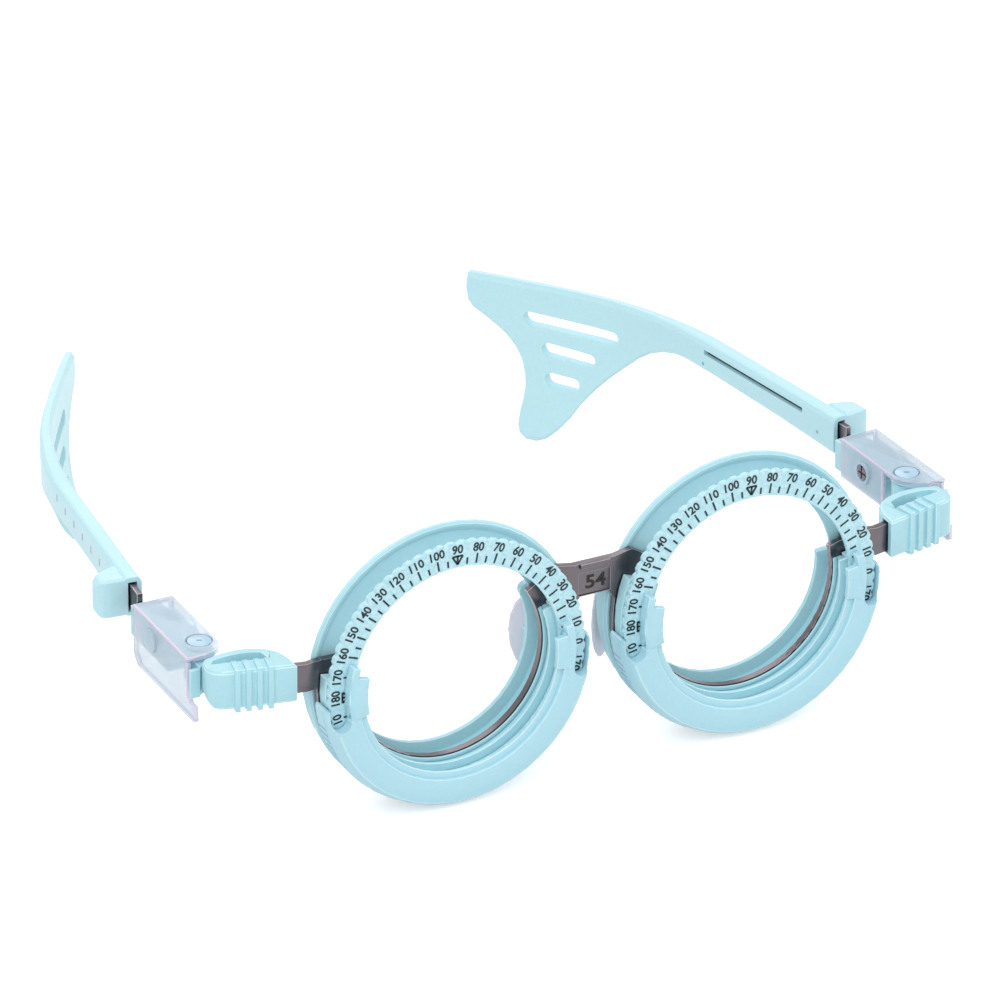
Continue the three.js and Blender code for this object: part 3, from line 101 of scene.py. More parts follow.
@dataclass(frozen=True)
class Finish:
    """A surface finish: a colour that varies with fine specks, and a gloss that drifts in wide clouds."""

    name: str
    colour: str
    shade: str
    roughness: float = 0.4
    metallic: float = 0.0
    ior: float = 1.46
    subsurface: float = 0.0
    scatter_mm: float = 1.5
    alpha: float = 1.0
    speck_mm: float = 0.5
    speck_depth: float = 0.12
    speck_contrast: float = 0.5
    bump_mm: float = 0.01
    cloud_mm: float = 18.0
    drift_share: float = 0.15
    stretch: float = 1.0

    def build(self) -> bpy.types.Material:
        """Make the material's nodes on Object coordinates.

        Returns:
            The finished material.
        """
        material = bpy.data.materials.new(self.name)
        material.use_nodes = True
        tree = material.node_tree
        tree.nodes.clear()
        coords = add_node(tree, "ShaderNodeTexCoord")
        mapping = add_node(
            tree,
            "ShaderNodeMapping",
            {"Scale": (1.0, 1.0, self.stretch)},
            {"Vector": coords.outputs["Object"]},
        )
        speck = add_node(
            tree,
            "ShaderNodeTexNoise",
            {"Scale": 1 / (self.speck_mm * MM), "Detail": 4.0, "Roughness": 0.6},
            {"Vector": mapping.outputs["Vector"]},
        )
        cloud = add_node(
            tree,
            "ShaderNodeTexNoise",
            {"Scale": 1 / (self.cloud_mm * MM), "Detail": 2.0},
            {"Vector": coords.outputs["Object"]},
        )
        share = add_node(
            tree,
            "ShaderNodeMapRange",
            {"From Min": 0.5 - self.speck_contrast / 2, "From Max": 0.5 + self.speck_contrast / 2},
            {"Value": speck.outputs["Fac"]},
        )
        grain = add_node(
            tree,
            "ShaderNodeMix",
            {"data_type": "RGBA", 6: linear(self.shade), 7: linear(self.colour)},
            {0: share.outputs["Result"]},
        )
        drift = add_node(
            tree,
            "ShaderNodeMapRange",
            {
                "From Min": 0.3,
                "From Max": 0.7,
                "To Min": self.roughness * (1 - self.drift_share),
                "To Max": self.roughness * (1 + self.drift_share),
            },
            {"Value": cloud.outputs["Fac"]},
        )
        bump = add_node(
            tree,
            "ShaderNodeBump",
            {"Strength": self.speck_depth, "Distance": self.bump_mm * MM},
            {"Height": speck.outputs["Fac"]},
        )
        shader = add_node(
            tree,
            "ShaderNodeBsdfPrincipled",
            {
                "Metallic": self.metallic,
                "IOR": self.ior,
                "Subsurface Weight": self.subsurface,
                "Subsurface Scale": self.scatter_mm * MM,
                "Alpha": self.alpha,
            },
            {
                "Base Color": grain.outputs[2],
                "Roughness": drift.outputs["Result"],
                "Normal": bump.outputs["Normal"],
            },
        )
        add_node(tree, "ShaderNodeOutputMaterial", {}, {"Surface": shader.outputs["BSDF"]})
        return material


# Injection-moulded polyamide in pale turquoise: an even, slightly translucent colour with a soft gloss.
MOULDED = Finish("moulded_teal_polyamide", "#AFDCE6", "#A9D7E2", roughness=0.4, subsurface=0.1)
# The same moulding, lighter on the rounded edges: a painted highlight where the light collects.
MOULDED_HIGHLIGHT = Finish("painted_highlight_teal_rim", "#CBF0F7", "#C5ECF4", roughness=0.3, subsurface=0.1)
# The temples come from a thinner, paler moulding, which lets more light through.
TEMPLE = Finish("thin_moulded_polyamide", "#BEE5ED", "#B8E0E9", roughness=0.38, subsurface=0.15)
# The same polyamide in a lighter shade on the turning holder.
PALE = Finish("moulded_pale_polyamide", "#B2DDEA", "#ACD8E5", roughness=0.42, subsurface=0.1)
# The pale moulding, lighter on its rounded edges: a painted highlight.
PALE_HIGHLIGHT = Finish("painted_highlight_pale_rim", "#CBEAF3", "#C5E6EF", roughness=0.32, subsurface=0.1)
# Moulded acetal with white flecks, which gives the printed dial its mottled look.
DIAL = Finish(
    "mottled_dial_acetal",
    "#C8EAF3",
    "#A6D7E3",
    roughness=0.5,
    speck_mm=0.55,
    speck_contrast=0.34,
    speck_depth=0.08,
)
# Stamped spring steel, black-nickel plated: dark, satin, with faint rolling marks.
STEEL = Finish(
    "black_nickel_steel",
    "#777175",
    "#5F5A5E",
    roughness=0.3,
    metallic=1.0,
    ior=1.5,
    speck_mm=0.3,
    stretch=14.0,
)
# The plating, lighter on the stamping's rounded corners: a painted highlight.
STEEL_HIGHLIGHT = Finish(
    "painted_highlight_nickel_rim", "#BDB4B7", "#ADA4A7", roughness=0.3, metallic=1.0, ior=1.5, speck_mm=0.2
)
# Clear moulded polycarbonate, a little lavender where it is thick.
CLEAR = Finish(
    "clear_polycarbonate", "#CADFEE", "#C6DBEB", roughness=0.14, ior=1.58, alpha=0.55, speck_depth=0.03
)
# The cover's edges pipe the light and glow pink.
CLEAR_EDGE = Finish(
    "clear_polycarbonate_edge", "#E2CFE4", "#DCC8E0", roughness=0.15, ior=1.58, alpha=0.92
)
# The pin's head is the same clear plastic over the teal block, so it takes the block's tint.
PIN = Finish("tinted_clear_pin", "#AACBE0", "#A5C7DD", roughness=0.16, ior=1.58, speck_depth=0.03)
# The pin's rounded rim, lighter where the light collects: a painted highlight.
PIN_HIGHLIGHT = Finish(
    "painted_highlight_pin_rim", "#BFD6E8", "#BAD2E5", roughness=0.15, ior=1.58, speck_depth=0.03
)
# Translucent silicone rubber, soft and milky.
SILICONE = Finish(
    "milky_silicone", "#E4E6F1", "#DEE0EC", roughness=0.34, ior=1.41, subsurface=0.35, alpha=0.8
)
# Pad-printed black enamel ink, matt.
INK = Finish("black_pad_print", "#16282E", "#1E3238", roughness=0.6, speck_mm=0.15)
# Dark paint of the bridge's figures.
BRIDGE_INK = Finish("dark_figure_paint", "#17120F", "#201A18", roughness=0.5, speck_mm=0.15)
# Marks left by the mould's pins, drawn as dots: the same polyamide, duller, and a little darker as painted
# shade in their shallow dimples.
DIMPLE = Finish("pin_marked_polyamide", "#86BAC6", "#7DB1BD", roughness=0.6, speck_mm=0.2)
# Purple-grey ink of the length marks, half worn away.
WORN_INK = Finish("worn_length_ink", "#A5B4CC", "#9DACC4", roughness=0.6, speck_mm=0.2)
# The shade in the holder's grip, drawn as strokes.
GRIP_SHADE = Finish("shaded_grip_polyamide", "#93B9CE", "#8CB2C8", roughness=0.6, speck_mm=0.2)
# The shade in a slit too narrow for light to reach, drawn as a stroke.
SLIT = Finish("shaded_slot_polyamide", "#54707A", "#4C6670", roughness=0.7, speck_mm=0.2)

FINISHES = {
    "moulded": MOULDED,
    "moulded_highlight": MOULDED_HIGHLIGHT,
    "temple": TEMPLE,
    "pale": PALE,
    "pale_highlight": PALE_HIGHLIGHT,
    "dial": DIAL,
    "steel": STEEL,
    "steel_highlight": STEEL_HIGHLIGHT,
    "clear": CLEAR,
    "clear_edge": CLEAR_EDGE,
    "pin": PIN,
    "pin_highlight": PIN_HIGHLIGHT,
    "silicone": SILICONE,
    "ink": INK,
    "bridge_ink": BRIDGE_INK,
    "worn_ink": WORN_INK,
    "grip_shade": GRIP_SHADE,
    "dimple": DIMPLE,
    "slit": SLIT,
}


def select_only(obj: bpy.types.Object) -> None:
    """Deselect everything, then select one object and make it active.

    Args:
        obj: the object.
    """
    bpy.ops.object.select_all(action="DESELECT")
    obj.select_set(True)
    bpy.context.view_layer.objects.active = obj


def settle(obj: bpy.types.Object, place: Matrix | None = None) -> bpy.types.Object:
    """Put the place into the mesh, so that the object sits at the origin.

    Args:
        obj: finished mesh object.
        place: an extra matrix that puts the mesh where it belongs.

    Returns:
        The same object.
    """
    bpy.context.view_layer.update()
    obj.data.transform((place or Matrix.Identity(4)) @ obj.matrix_world)
    obj.matrix_world = Matrix.Identity(4)
    return obj


def dress(obj: bpy.types.Object, material: bpy.types.Material) -> None:
    """Give an object one material."""
    obj.data.materials.clear()
    obj.data.materials.append(material)


def body_of_node(name: str) -> str:
    """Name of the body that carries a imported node."""
    bodies = frame["record"]["behaviour"]["bodies"]
    return next(body for body, nodes in bodies.items() if name in nodes)


def joint_named(name: str) -> dict:
    """The record's entry of a joint."""
    return next(joint for joint in frame["record"]["behaviour"]["joints"] if joint["name"] == name)


def eye_centre(side: Side) -> Vector:
    """Centre of an eye on the scale ring's front plane."""
    return Vector(joint_named(f"{side.value}_lens_turn")["pos_m"])


def merge(pieces: list[bpy.types.Object], name: str) -> bpy.types.Object:
    """Join separate marks into one piece.

    Args:
        pieces: mesh objects, already in place.
        name: name of the joined piece.

    Returns:
        The joined object.
    """
    bpy.ops.object.select_all(action="DESELECT")
    for piece in pieces:
        piece.select_set(True)
    bpy.context.view_layer.objects.active = pieces[0]
    bpy.ops.object.join()
    whole = bpy.context.view_layer.objects.active
    whole.name = name
    return whole


@dataclass
class PrintedWords:
    """Figures and strokes of printing ink, drawn flat in X and Y and then laid on a surface."""

    thickness: float = 0.05 * MM
    narrowing: float = 0.94
    boldness: float = 0.024
    digit_share: float = 0.72
    curve_steps: int = 3
    stroke_bevel: float = 0.25
    dot_bevel: float = 0.3
    dot_sides: int = 24
    stem_share: float = 0.62

    def bevelled(self, mark: bpy.types.Object, share: float, place: Matrix) -> bpy.types.Object:
        """Soften a mark's rims and lay it on its surface.

        Args:
            mark: a flat block or disc of ink.
            share: width of the softened rim as a share of the ink's thickness.
            place: matrix that lays the mark on its surface.

        Returns:
            The same mark.
        """
        bpy.ops.object.mode_set(mode="EDIT")
        bpy.ops.mesh.select_all(action="SELECT")
        bpy.ops.mesh.bevel(offset=self.thickness * share, segments=1)
        bpy.ops.object.mode_set(mode="OBJECT")
        return settle(mark, place)

    def figure(self, text: str, height: float, place: Matrix) -> bpy.types.Object:
        """Make a number as a thin mesh.

        Args:
            text: the digits.
            height: height of a digit.
            place: matrix that lays the number on its surface.

        Returns:
            The number's mesh object.
        """
        bpy.ops.object.select_all(action="DESELECT")
        bpy.ops.object.text_add()
        words = bpy.context.object
        words.data.body = text
        words.data.align_x = "CENTER"
        words.data.align_y = "CENTER"
        words.data.size = height / self.digit_share
        words.data.resolution_u = self.curve_steps
        words.data.extrude = self.thickness / 2
        words.data.offset = words.data.size * self.boldness
        bpy.ops.object.convert(target="MESH")
        words = bpy.context.object
        return settle(words, place @ Matrix.Diagonal((self.narrowing, 1.0, 1.0, 1.0)))

    def stroke(self, width: float, length: float, place: Matrix) -> bpy.types.Object:
        """Make a straight mark with softened corners.

        Args:
            width: size across.
            length: size along.
            place: matrix that lays the mark on its surface.

        Returns:
            The mark's mesh object.
        """
        bpy.ops.object.select_all(action="DESELECT")
        bpy.ops.mesh.primitive_cube_add(size=1, scale=(width, length, self.thickness))
        return self.bevelled(bpy.context.object, self.stroke_bevel, place)

    def dot(self, radius: float, place: Matrix) -> bpy.types.Object:
        """Make a round mark with softened rims.

        Args:
            radius: the mark's radius.
            place: matrix that lays the mark on its surface.

        Returns:
            The mark's mesh object.
        """
        bpy.ops.object.select_all(action="DESELECT")
        bpy.ops.mesh.primitive_cylinder_add(vertices=self.dot_sides, radius=radius, depth=self.thickness)
        return self.bevelled(bpy.context.object, self.dot_bevel, place)

    def line(self, start: Vector, end: Vector, width: float, place: Matrix) -> bpy.types.Object:
        """Make a straight mark between two points of the flat drawing.

        Args:
            start: one end.
            end: the other end.
            width: size across.
            place: matrix that lays the drawing on its surface.

        Returns:
            The mark's mesh object.
        """
        along = end - start
        turn = Matrix.Rotation(math.atan2(along.y, along.x) - math.radians(90), 4, "Z")
        middle = Matrix.Translation((start + end) / 2)
        return self.stroke(width, along.length, place @ middle @ turn)

    def pointer(self, width: float, height: float, line: float, place: Matrix) -> list[bpy.types.Object]:
        """Make an outlined triangle that points towards -Y, with a stem through it.

        Args:
            width: size of the triangle's base.
            height: distance from the base to the tip.
            line: thickness of its lines.
            place: matrix that lays the triangle on its surface.

        Returns:
            The lines of the pointer.
        """
        left = Vector((-width / 2, height / 2, 0))
        right = Vector((width / 2, height / 2, 0))
        tip = Vector((0, -height / 2, 0))
        stem = Vector((0, height * self.stem_share, 0))
        lines = ((left, right), (left, tip), (right, tip), (stem, tip))
        return [self.line(start, end, line, place) for start, end in lines]


@dataclass
class DegreeScale:
    """The printed degree scale of one eye."""

    side: Side
    words: PrintedWords = field(default_factory=PrintedWords)
    tick_start: float = 19.3 * MM
    long_tick: float = 1.75 * MM
    short_tick: float = 1.15 * MM
    tick_width: float = 0.33 * MM
    number_radius: float = 22.1 * MM
    number_height: float = 1.55 * MM
    pointer_width: float = 1.9 * MM
    pointer_height: float = 1.5 * MM
    pointer_line: float = 0.36 * MM
    pointer_radius: float = 20.2 * MM
    tick_step: int = 5
    number_step: int = 10
    pointer_step: int = 90

    def place(self, radius: float, degrees: float) -> Matrix:
        """Matrix from a flat drawing to the ring's face, with +Y of the drawing pointing outwards.

        Args:
            radius: distance from the eye's centre.
            degrees: angle on the scale.

        Returns:
            The matrix.
        """
        low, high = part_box(f"scale_ring_{self.side.value}")
        centre = (low + high) / 2
        angle = math.radians(degrees)
        spot = Vector((
            centre.x + radius * math.cos(angle),
            low.y - self.words.thickness * 0.5,
            centre.z + radius * math.sin(angle),
        ))
        outward = Vector((math.cos(angle), 0, math.sin(angle)))
        facing = Vector((0, -1, 0))
        across = outward.cross(facing)
        turn = Matrix((across, outward, facing)).transposed().to_4x4()
        return Matrix.Translation(spot) @ turn

    def build(self, ink: bpy.types.Material) -> None:
        """Print ticks, numbers and pointers on the ring.

        Args:
            ink: the printing ink.
        """
        marks = []
        pointer = (self.pointer_width, self.pointer_height, self.pointer_line)
        for degrees in range(0, FULL_TURN, self.tick_step):
            if degrees % self.pointer_step == 0:
                marks += self.words.pointer(*pointer, self.place(self.pointer_radius, degrees))
                continue
            length = self.long_tick if degrees % self.number_step == 0 else self.short_tick
            middle = self.tick_start + length / 2
            marks.append(self.words.stroke(self.tick_width, length, self.place(middle, degrees)))
        for degrees in range(0, FULL_TURN, self.number_step):
            label = str(degrees if degrees <= HALF_TURN else degrees - HALF_TURN)
            place = self.place(self.number_radius, degrees)
            marks.append(self.words.figure(label, self.number_height, place))
        piece = merge(marks, f"scale_print_{self.side.value}")
        dress(piece, ink)
        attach(piece, "front")
        log.info("printed %s with %d marks", piece.name, len(marks))


@dataclass
class BridgeNumber:
    """The pupil distance on the bridge's pad."""

    words: PrintedWords = field(default_factory=lambda: PrintedWords(narrowing=1.16))
    text: str = "54"
    height: float = 2.4 * MM
    shift: float = 0.35 * MM

    def build(self, ink: bpy.types.Material) -> None:
        """Print the number on the pad.

        Args:
            ink: the ink.
        """
        pad = next(mount for mount in frame["record"]["mounts"] if mount["name"] == "bridge_pad")
        spot = Vector(pad["pos_m"]) + Vector((self.shift, -self.words.thickness * 0.5, 0))
        turn = Matrix.Rotation(math.radians(90), 4, "X")
        piece = self.words.figure(self.text, self.height, Matrix.Translation(spot) @ turn)
        piece.name = "bridge_number"
        dress(piece, ink)
        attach(piece, "front")
        log.info("printed %s", piece.name)


@dataclass
class CellSeat:
    """The rounded teal steps in the front cell, in front of the metal plate.

    Each outline has its inner and outer radius about the eye, and its front and back depth.
    """

    side: Side
    outlines: tuple[tuple[float, float, float, float], ...] = (
        (17.45 * MM, 18.2 * MM, 3.3 * MM, 3.75 * MM),
        (18.25 * MM, 19.1 * MM, 2.9 * MM, 3.75 * MM),
    )
    rounding: float = 0.2 * MM
    rounding_segments: int = 3
    nasal_end: float = 19.0
    temple_end: float = 6.0
    steps: int = 72
    weld: float = 0.001 * MM

    def build(self, moulded: bpy.types.Material) -> None:
        """Spin the steps' outlines round the eye.

        Args:
            moulded: the moulded plastic.
        """
        eye = eye_centre(self.side)
        start = math.radians(self.nasal_end if self.side is Side.RIGHT else HALF_TURN - self.nasal_end)
        sweep = math.radians(HALF_TURN + self.nasal_end + self.temple_end)
        turn = Matrix.Rotation(-start, 4, "Y")
        faces = []
        for inner, outer, front, back in self.outlines:
            bpy.ops.object.select_all(action="DESELECT")
            bpy.ops.mesh.primitive_plane_add(size=1)
            middle = Matrix.Translation(((inner + outer) / 2, (front + back) / 2, 0))
            size = Matrix.Diagonal((outer - inner, back - front, 1, 1))
            faces.append(settle(bpy.context.object, Matrix.Translation(eye) @ turn @ middle @ size))
        step = merge(faces, f"lens_steps_{self.side.value}")
        bpy.ops.object.mode_set(mode="EDIT")
        bpy.ops.mesh.select_all(action="SELECT")
        bpy.ops.mesh.bevel(offset=self.rounding, segments=self.rounding_segments, affect="VERTICES")
        bpy.ops.mesh.select_all(action="SELECT")
        bpy.ops.mesh.spin(steps=self.steps, angle=sweep * self.side.sign, center=eye, axis=(0, 1, 0))
        bpy.ops.mesh.select_all(action="SELECT")
        bpy.ops.mesh.remove_doubles(threshold=self.weld)
        bpy.ops.mesh.normals_make_consistent(inside=False)
        bpy.ops.object.mode_set(mode="OBJECT")
        bpy.ops.object.shade_smooth_by_angle(angle=SMOOTH_ANGLE)
        dress(step, moulded)
        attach(step, "front")
        log.info("spun %s", step.name)


@dataclass
class HolderGrip:
    """Thin dark strokes laid round the lens holder's skirt, for the shade in its grip.

    They aren't cut into the skirt, and they stand closer together than its packed teeth.
    """

    side: Side
    words: PrintedWords = field(default_factory=PrintedWords)
    radius: float = 24.25 * MM
    depth: float = 2.15 * MM
    length: float = 2.5 * MM
    width: float = 0.2 * MM
    start: float = -14.0
    end: float = -166.0
    count: int = 96

    def build(self, shade: bpy.types.Material) -> None:
        """Copy one stroke round the skirt.

        Args:
            shade: the strokes' finish.
        """
        eye = eye_centre(self.side)
        upright = Matrix(((0, 0, 1), (0, 1, 0), (-1, 0, 0))).to_4x4()
        place = Matrix.Translation((self.radius, self.depth, 0)) @ upright
        first = self.words.stroke(self.width, self.length, place)
        strokes = []
        for i in range(self.count):
            degrees = self.start + (self.end - self.start) * i / (self.count - 1)
            stroke = first.copy()
            stroke.data = first.data.copy()
            bpy.context.scene.collection.objects.link(stroke)
            turn = Matrix.Rotation(-math.radians(degrees), 4, "Y")
            stroke.data.transform(Matrix.Translation(eye) @ turn)
            strokes.append(stroke)
        bpy.data.objects.remove(first)
        piece = merge(strokes, f"holder_grip_{self.side.value}")
        dress(piece, shade)
        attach(piece, f"{self.side.value}_lens_holder")
        log.info("laid %s", piece.name)


@dataclass
class PinSlit:
    """The slit across a fold pin's head, drawn as a thin dark stroke."""

    side: Side
    words: PrintedWords = field(default_factory=PrintedWords)
    length: float = 0.95 * MM
    width: float = 0.24 * MM
    turn: float = math.radians(63)

    def build(self, shade: bpy.types.Material) -> None:
        """Lay the stroke on the head.

        Args:
            shade: the stroke's dark finish.
        """
        low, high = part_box(f"fold_pin_{self.side.value}")
        spot = Vector(((low.x + high.x) / 2, (low.y + high.y) / 2, high.z))
        place = Matrix.Translation(spot) @ Matrix.Rotation(self.turn, 4, "Z")
        piece = self.words.stroke(self.width, self.length, place)
        piece.name = f"pin_slit_{self.side.value}"
        dress(piece, shade)
        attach(piece, body_of_node(f"fold_pin_{self.side.value}"))
        log.info("laid %s", piece.name)


@dataclass
class TempleMarks:
    """The length marks along a temple's outer face, and the two pin marks on its inner face.

    Each mark has its distance behind the temple's front end and its height above the floor, in mm.
    """

    side: Side
    words: PrintedWords = field(default_factory=PrintedWords)
    length_marks: tuple[tuple[float, float], ...] = (
        (12.4, 28.5),
        (16.8, 28.6),
        (21.2, 28.8),
        (25.6, 29.0),
        (30.0, 29.3),
        (34.4, 29.7),
    )
    pin_marks: tuple[tuple[float, float], ...] = ((4.5, 27.2), (36.0, 27.3))
    mark_width: float = 0.5 * MM
    mark_height: float = 1.3 * MM
    pin_radius: float = 0.32 * MM
    ray_start: float = 20 * MM

    def place(self, along: float, height: float, outwards: bool) -> Matrix:
        """Matrix from a flat drawing to the temple's side face.

        Args:
            along: distance behind the temple's front end in mm.
            height: height above the floor in mm.
            outwards: whether the face looks away from the wearer.

        Returns:
            The matrix; +Y of the drawing points up.
        """
        back = -Vector(joint_named(f"{self.side.value}_length")["axis"])
        pivot = Vector(joint_named(f"{self.side.value}_fold")["pos_m"])
        side = back.cross(UPWARDS) * self.side.sign * (1 if outwards else -1)
        temple = frame["nodes"][f"temple_{self.side.value}"]
        front_end = min((vertex.co - pivot).dot(back) for vertex in temple.data.vertices)
        start = pivot + back * (front_end + along * MM)
        start.z = height * MM
        met, spot, normal, _ = temple.ray_cast(start + side * self.ray_start, -side)
        if not met:
            raise RuntimeError(f"no temple face at {along} mm")
        across = UPWARDS.cross(normal).normalized()
        up = normal.cross(across)
        return Matrix.Translation(spot) @ Matrix((across, up, normal)).transposed().to_4x4()

    def build(self, ink: bpy.types.Material, dimple: bpy.types.Material) -> None:
        """Lay the marks on the temple.

        Args:
            ink: the worn ink of the length marks.
            dimple: the pin marks' finish, darkened as painted shade.
        """
        strokes = [
            self.words.stroke(self.mark_width, self.mark_height, self.place(*mark, outwards=True))
            for mark in self.length_marks
        ]
        dots = [
            self.words.dot(self.pin_radius, self.place(*mark, outwards=False))
            for mark in self.pin_marks
        ]
        for marks, name, finish in ((strokes, "length_marks", ink), (dots, "pin_marks", dimple)):
            piece = merge(marks, f"{name}_{self.side.value}")
            dress(piece, finish)
            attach(piece, body_of_node(f"temple_{self.side.value}"))
            log.info("laid %s", piece.name)


@dataclass(frozen=True)
class Softening:
    """How one kind of node is finished: its materials, and how far its long sharp edges are rounded.

    A kind without a radius keeps its edges, and has no painted edge highlight: the lighter colour that the
    rounded faces of the others take.
    """

    start: str
    finish: str
    edge_finish: str = ""
    radius: float = 0.0
    shortest: float = 0.3 * MM


@dataclass
class Dressing:
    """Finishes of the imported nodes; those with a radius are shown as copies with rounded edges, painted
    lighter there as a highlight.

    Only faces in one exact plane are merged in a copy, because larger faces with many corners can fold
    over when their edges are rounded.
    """

    weld: float = 0.002 * MM
    flat_angle: float = math.radians(0.01)
    sharp_angle: float = math.radians(34)
    rounding_segments: int = 2
    plans: tuple[Softening, ...] = (
        Softening("metal_chassis", "steel", "steel_highlight", 0.06 * MM, 1.0 * MM),
        Softening("cell_screw", "steel"),
        Softening("tilt_screw", "steel"),
        Softening("temple_strip", "steel", "steel_highlight", 0.12 * MM),
        Softening("scale_ring", "dial"),
        Softening("lens_holder", "pale", "pale_highlight", 0.14 * MM, 0.8 * MM),
        Softening("clear_cover", "clear", "clear_edge", 0.3 * MM, 1.5 * MM),
        Softening("nose_pad_bracket", "moulded", "moulded_highlight", 0.2 * MM),
        Softening("nose_pad", "silicone"),
        Softening("width_slider", "moulded", "moulded_highlight", 0.11 * MM, 0.5 * MM),
        Softening("tilt_block", "moulded", "moulded_highlight", 0.2 * MM),
        Softening("hinge_post", "moulded", "moulded_highlight", 0.12 * MM, 0.5 * MM),
        Softening("fold_pin", "pin", "pin_highlight", 0.12 * MM, 0.4 * MM),
        Softening("front_cell", "moulded", "moulded_highlight", 0.12 * MM, 0.8 * MM),
        Softening("rear_cell", "moulded", "moulded_highlight", 0.06 * MM, 1.2 * MM),
        Softening("temple", "temple"),
    )

    def mark_sharp_edges(self, piece: bpy.types.Object, plan: Softening) -> int:
        """Give every long convex edge of a piece a bevel weight.

        Args:
            piece: merged mesh object.
            plan: the piece's finish and its rounding.

        Returns:
            How many edges will be rounded.
        """
        mesh = bmesh.new()
        mesh.from_mesh(piece.data)
        weight = mesh.edges.layers.float.new("bevel_weight_edge")
        count = 0
        for edge in mesh.edges:
            if len(edge.link_faces) != 2 or not edge.is_convex or edge.calc_length() < plan.shortest:
                continue
            if edge.calc_face_angle() > self.sharp_angle:
                edge[weight] = 1.0
                count += 1
        mesh.to_mesh(piece.data)
        mesh.free()
        return count

    def soften(
        self, node: bpy.types.Object, plan: Softening, finishes: dict[str, bpy.types.Material]
    ) -> bpy.types.Object:
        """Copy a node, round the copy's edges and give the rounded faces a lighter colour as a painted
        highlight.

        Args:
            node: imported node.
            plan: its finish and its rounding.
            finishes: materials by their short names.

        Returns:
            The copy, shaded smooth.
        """
        piece = bpy.data.objects.new(f"{node.name}_softened", node.data.copy())
        bpy.context.scene.collection.objects.link(piece)
        select_only(piece)
        bpy.ops.mesh.customdata_custom_splitnormals_clear()
        bpy.ops.object.mode_set(mode="EDIT")
        bpy.ops.mesh.select_all(action="SELECT")
        bpy.ops.mesh.remove_doubles(threshold=self.weld)
        bpy.ops.mesh.dissolve_limited(angle_limit=self.flat_angle)
        bpy.ops.object.mode_set(mode="OBJECT")
        dress(piece, finishes[plan.finish])
        # The second material goes on the rounded faces: a lighter colour, a painted highlight on the edges.
        piece.data.materials.append(finishes[plan.edge_finish])
        count = self.mark_sharp_edges(piece, plan)
        bevel = piece.modifiers.new("rounding", "BEVEL")
        bevel.limit_method = "WEIGHT"
        bevel.width = plan.radius
        bevel.segments = self.rounding_segments
        bevel.use_clamp_overlap = False
        bevel.material = len(piece.data.materials) - 1
        bpy.ops.object.modifier_apply(modifier=bevel.name)
        bpy.ops.object.shade_smooth_by_angle(angle=SMOOTH_ANGLE)
        log.info("rounded %d edges of %s", count, node.name)
        return piece

    def build(self, finishes: dict[str, bpy.types.Material]) -> None:
        """Dress every node, as itself or as its rounded copy.

        Args:
            finishes: materials by their short names.
        """
        for name, node in frame["nodes"].items():
            plan = next(plan for plan in self.plans if name.startswith(plan.start))
            if plan.radius > 0:
                piece = self.soften(node, plan, finishes)
                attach(piece, body_of_node(name))
                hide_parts(name)
            else:
                select_only(node)
                bpy.ops.object.shade_smooth_by_angle(angle=SMOOTH_ANGLE)
                dress(node, finishes[plan.finish])
            log.info("dressed %s in %s", name, finishes[plan.finish].name)


def seen_directly(tree: bpy.types.NodeTree) -> bpy.types.NodeSocket:
    """Tell the rays that show a backdrop, also mirrored or through glass, from those that carry light.

    Args:
        tree: node tree of the backdrop.

    Returns:
        A socket that is 1 for a ray that shows the backdrop.
    """
    path = add_node(tree, "ShaderNodeLightPath")
    mirrored = add_node(
        tree,
        "ShaderNodeMath",
        {"operation": "MAXIMUM"},
        {0: path.outputs["Is Camera Ray"], 1: path.outputs["Is Glossy Ray"]},
    )
    seen = add_node(
        tree,
        "ShaderNodeMath",
        {"operation": "MAXIMUM"},
        {0: mirrored.outputs[0], 1: path.outputs["Is Transmission Ray"]},
    )
    return seen.outputs[0]


def finish_backdrop(
    tree: bpy.types.NodeTree, kind: str, lighting: bpy.types.Node, shown: bpy.types.Node
) -> None:
    """Let a backdrop light the scene with one shader and show itself with another.

    Args:
        tree: node tree of the backdrop.
        kind: type of its output node.
        lighting: the shader for rays that carry light.
        shown: the shader for rays that show the backdrop.
    """
    sockets = {0: seen_directly(tree), 1: lighting.outputs[0], 2: shown.outputs[0]}
    mix = add_node(tree, "ShaderNodeMixShader", {}, sockets)
    add_node(tree, kind, {}, {"Surface": mix.outputs[0]})


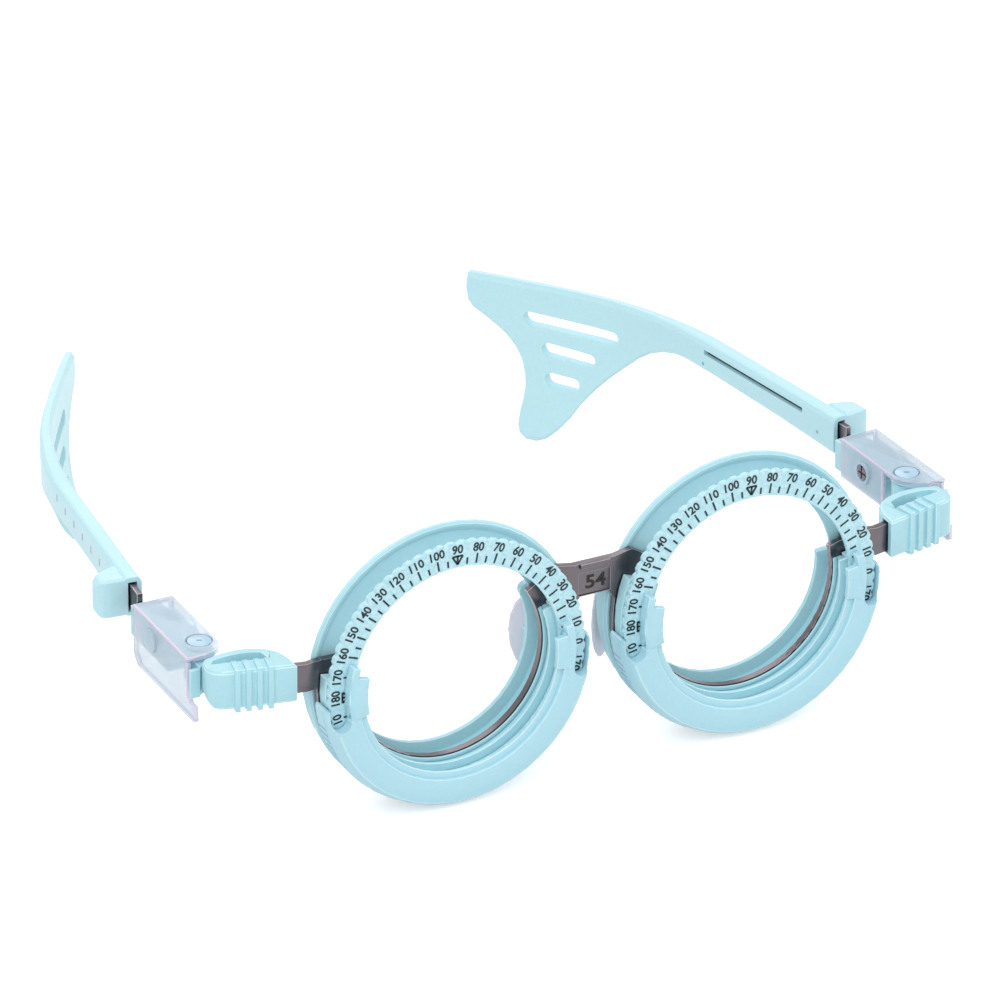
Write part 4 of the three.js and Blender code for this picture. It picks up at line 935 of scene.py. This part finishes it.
@dataclass
class Studio:
    """Floor, light and camera. The camera's place and directions are the photograph's."""

    focal_mm: float = 431.2
    sensor_mm: float = 36.0
    eye: tuple[float, float, float] = (-802.5, -1531.2, 927.3)
    look: tuple[float, float, float] = (0.40368, 0.78922, -0.46278)
    across: tuple[float, float, float] = (0.89062, -0.45474, 0.00138)
    farthest: float = 20.0
    panel_size: float = 0.9
    panels: tuple[tuple[str, tuple[float, float, float], float], ...] = (
        ("key_panel", (-0.55, -0.65, 0.95), 7.5),
        ("fill_panel", (0.9, -0.35, 0.6), 3.2),
        ("back_panel", (0.1, 0.95, 0.8), 3.5),
    )
    world_strength: float = 0.62
    floor_size: float = 6.0
    floor_drop: float = 0.2 * MM
    floor_grey: tuple[float, float, float, float] = (0.8, 0.8, 0.8, 1.0)
    floor_glow: float = 0.5

    def origin(self) -> Vector:
        """Point midway between the eyes on the front plane of the scale rings.

        Returns:
            The point.
        """
        right_low, right_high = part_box("scale_ring_right")
        left_low, left_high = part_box("scale_ring_left")
        middle = (right_low + right_high + left_low + left_high) / 4
        return Vector((middle.x, right_low.y, middle.z))

    def camera(self) -> None:
        """Put the camera at the photograph's viewpoint."""
        data = bpy.data.cameras.new("studio_camera")
        data.sensor_width = self.sensor_mm
        data.lens = self.focal_mm
        data.clip_end = self.farthest
        camera = bpy.data.objects.new("studio_camera", data)
        bpy.context.scene.collection.objects.link(camera)
        forward = Vector(self.look).normalized()
        right = (Vector(self.across) - forward * Vector(self.across).dot(forward)).normalized()
        up = right.cross(forward)
        turn = Matrix((right, up, -forward)).transposed().to_4x4()
        camera.matrix_world = Matrix.Translation(self.origin() + Vector(self.eye) * MM) @ turn
        bpy.context.scene.camera = camera

    def lights(self) -> None:
        """Hang soft panels above and beside the frame."""
        for name, spot, power in self.panels:
            data = bpy.data.lights.new(name, "AREA")
            data.size = self.panel_size
            data.energy = power
            lamp = bpy.data.objects.new(name, data)
            lamp.location = spot
            lamp.rotation_mode = "QUATERNION"
            lamp.rotation_quaternion = (-Vector(spot)).to_track_quat("-Z", "Y")
            bpy.context.scene.collection.objects.link(lamp)

    def world(self) -> None:
        """Light evenly from all round, with a white background where it is seen."""
        world = bpy.data.worlds.new("studio_world")
        world.use_nodes = True
        tree = world.node_tree
        tree.nodes.clear()
        light = add_node(
            tree, "ShaderNodeBackground", {"Color": WHITE, "Strength": self.world_strength}
        )
        backdrop = add_node(tree, "ShaderNodeBackground", {"Color": WHITE, "Strength": 1.0})
        finish_backdrop(tree, "ShaderNodeOutputWorld", light, backdrop)
        bpy.context.scene.world = world

    def floor(self) -> None:
        """Lay a pale floor that shows white to the camera and keeps the object's shadow."""
        bpy.ops.object.select_all(action="DESELECT")
        bpy.ops.mesh.primitive_plane_add(size=self.floor_size, location=(0, 0, -self.floor_drop))
        floor = bpy.context.object
        floor.name = "studio_floor"
        material = bpy.data.materials.new("studio_paper")
        material.use_nodes = True
        tree = material.node_tree
        tree.nodes.clear()
        paper = add_node(tree, "ShaderNodeBsdfDiffuse", {"Color": self.floor_grey})
        glow = add_node(tree, "ShaderNodeEmission", {"Color": WHITE, "Strength": self.floor_glow})
        lit = add_node(tree, "ShaderNodeAddShader", {}, {0: paper.outputs[0], 1: glow.outputs[0]})
        finish_backdrop(tree, "ShaderNodeOutputMaterial", paper, lit)
        dress(floor, material)

    def build(self) -> None:
        """Set the whole stage."""
        bpy.context.scene.view_settings.view_transform = "Standard"
        self.camera()
        self.lights()
        self.world()
        self.floor()
        log.info("the studio stands")


def main() -> None:
    """Dress the nodes, print the scales and set the stage."""
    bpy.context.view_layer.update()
    finishes = {name: finish.build() for name, finish in FINISHES.items()}
    Dressing().build(finishes)
    for side in Side:
        DegreeScale(side).build(finishes["ink"])
        CellSeat(side).build(finishes["moulded"])
        HolderGrip(side).build(finishes["grip_shade"])
        PinSlit(side).build(finishes["slit"])
        TempleMarks(side).build(finishes["worn_ink"], finishes["dimple"])
    BridgeNumber().build(finishes["bridge_ink"])
    Studio().build()


with open("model.json") as file:
    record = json.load(file)
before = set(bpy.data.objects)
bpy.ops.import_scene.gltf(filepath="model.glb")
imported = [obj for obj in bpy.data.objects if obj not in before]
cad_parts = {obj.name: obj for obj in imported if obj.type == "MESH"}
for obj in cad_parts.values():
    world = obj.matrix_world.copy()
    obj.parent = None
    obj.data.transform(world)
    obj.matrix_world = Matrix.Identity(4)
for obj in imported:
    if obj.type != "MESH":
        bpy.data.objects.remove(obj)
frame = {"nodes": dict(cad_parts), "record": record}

if __name__ == "__main__":
    main()
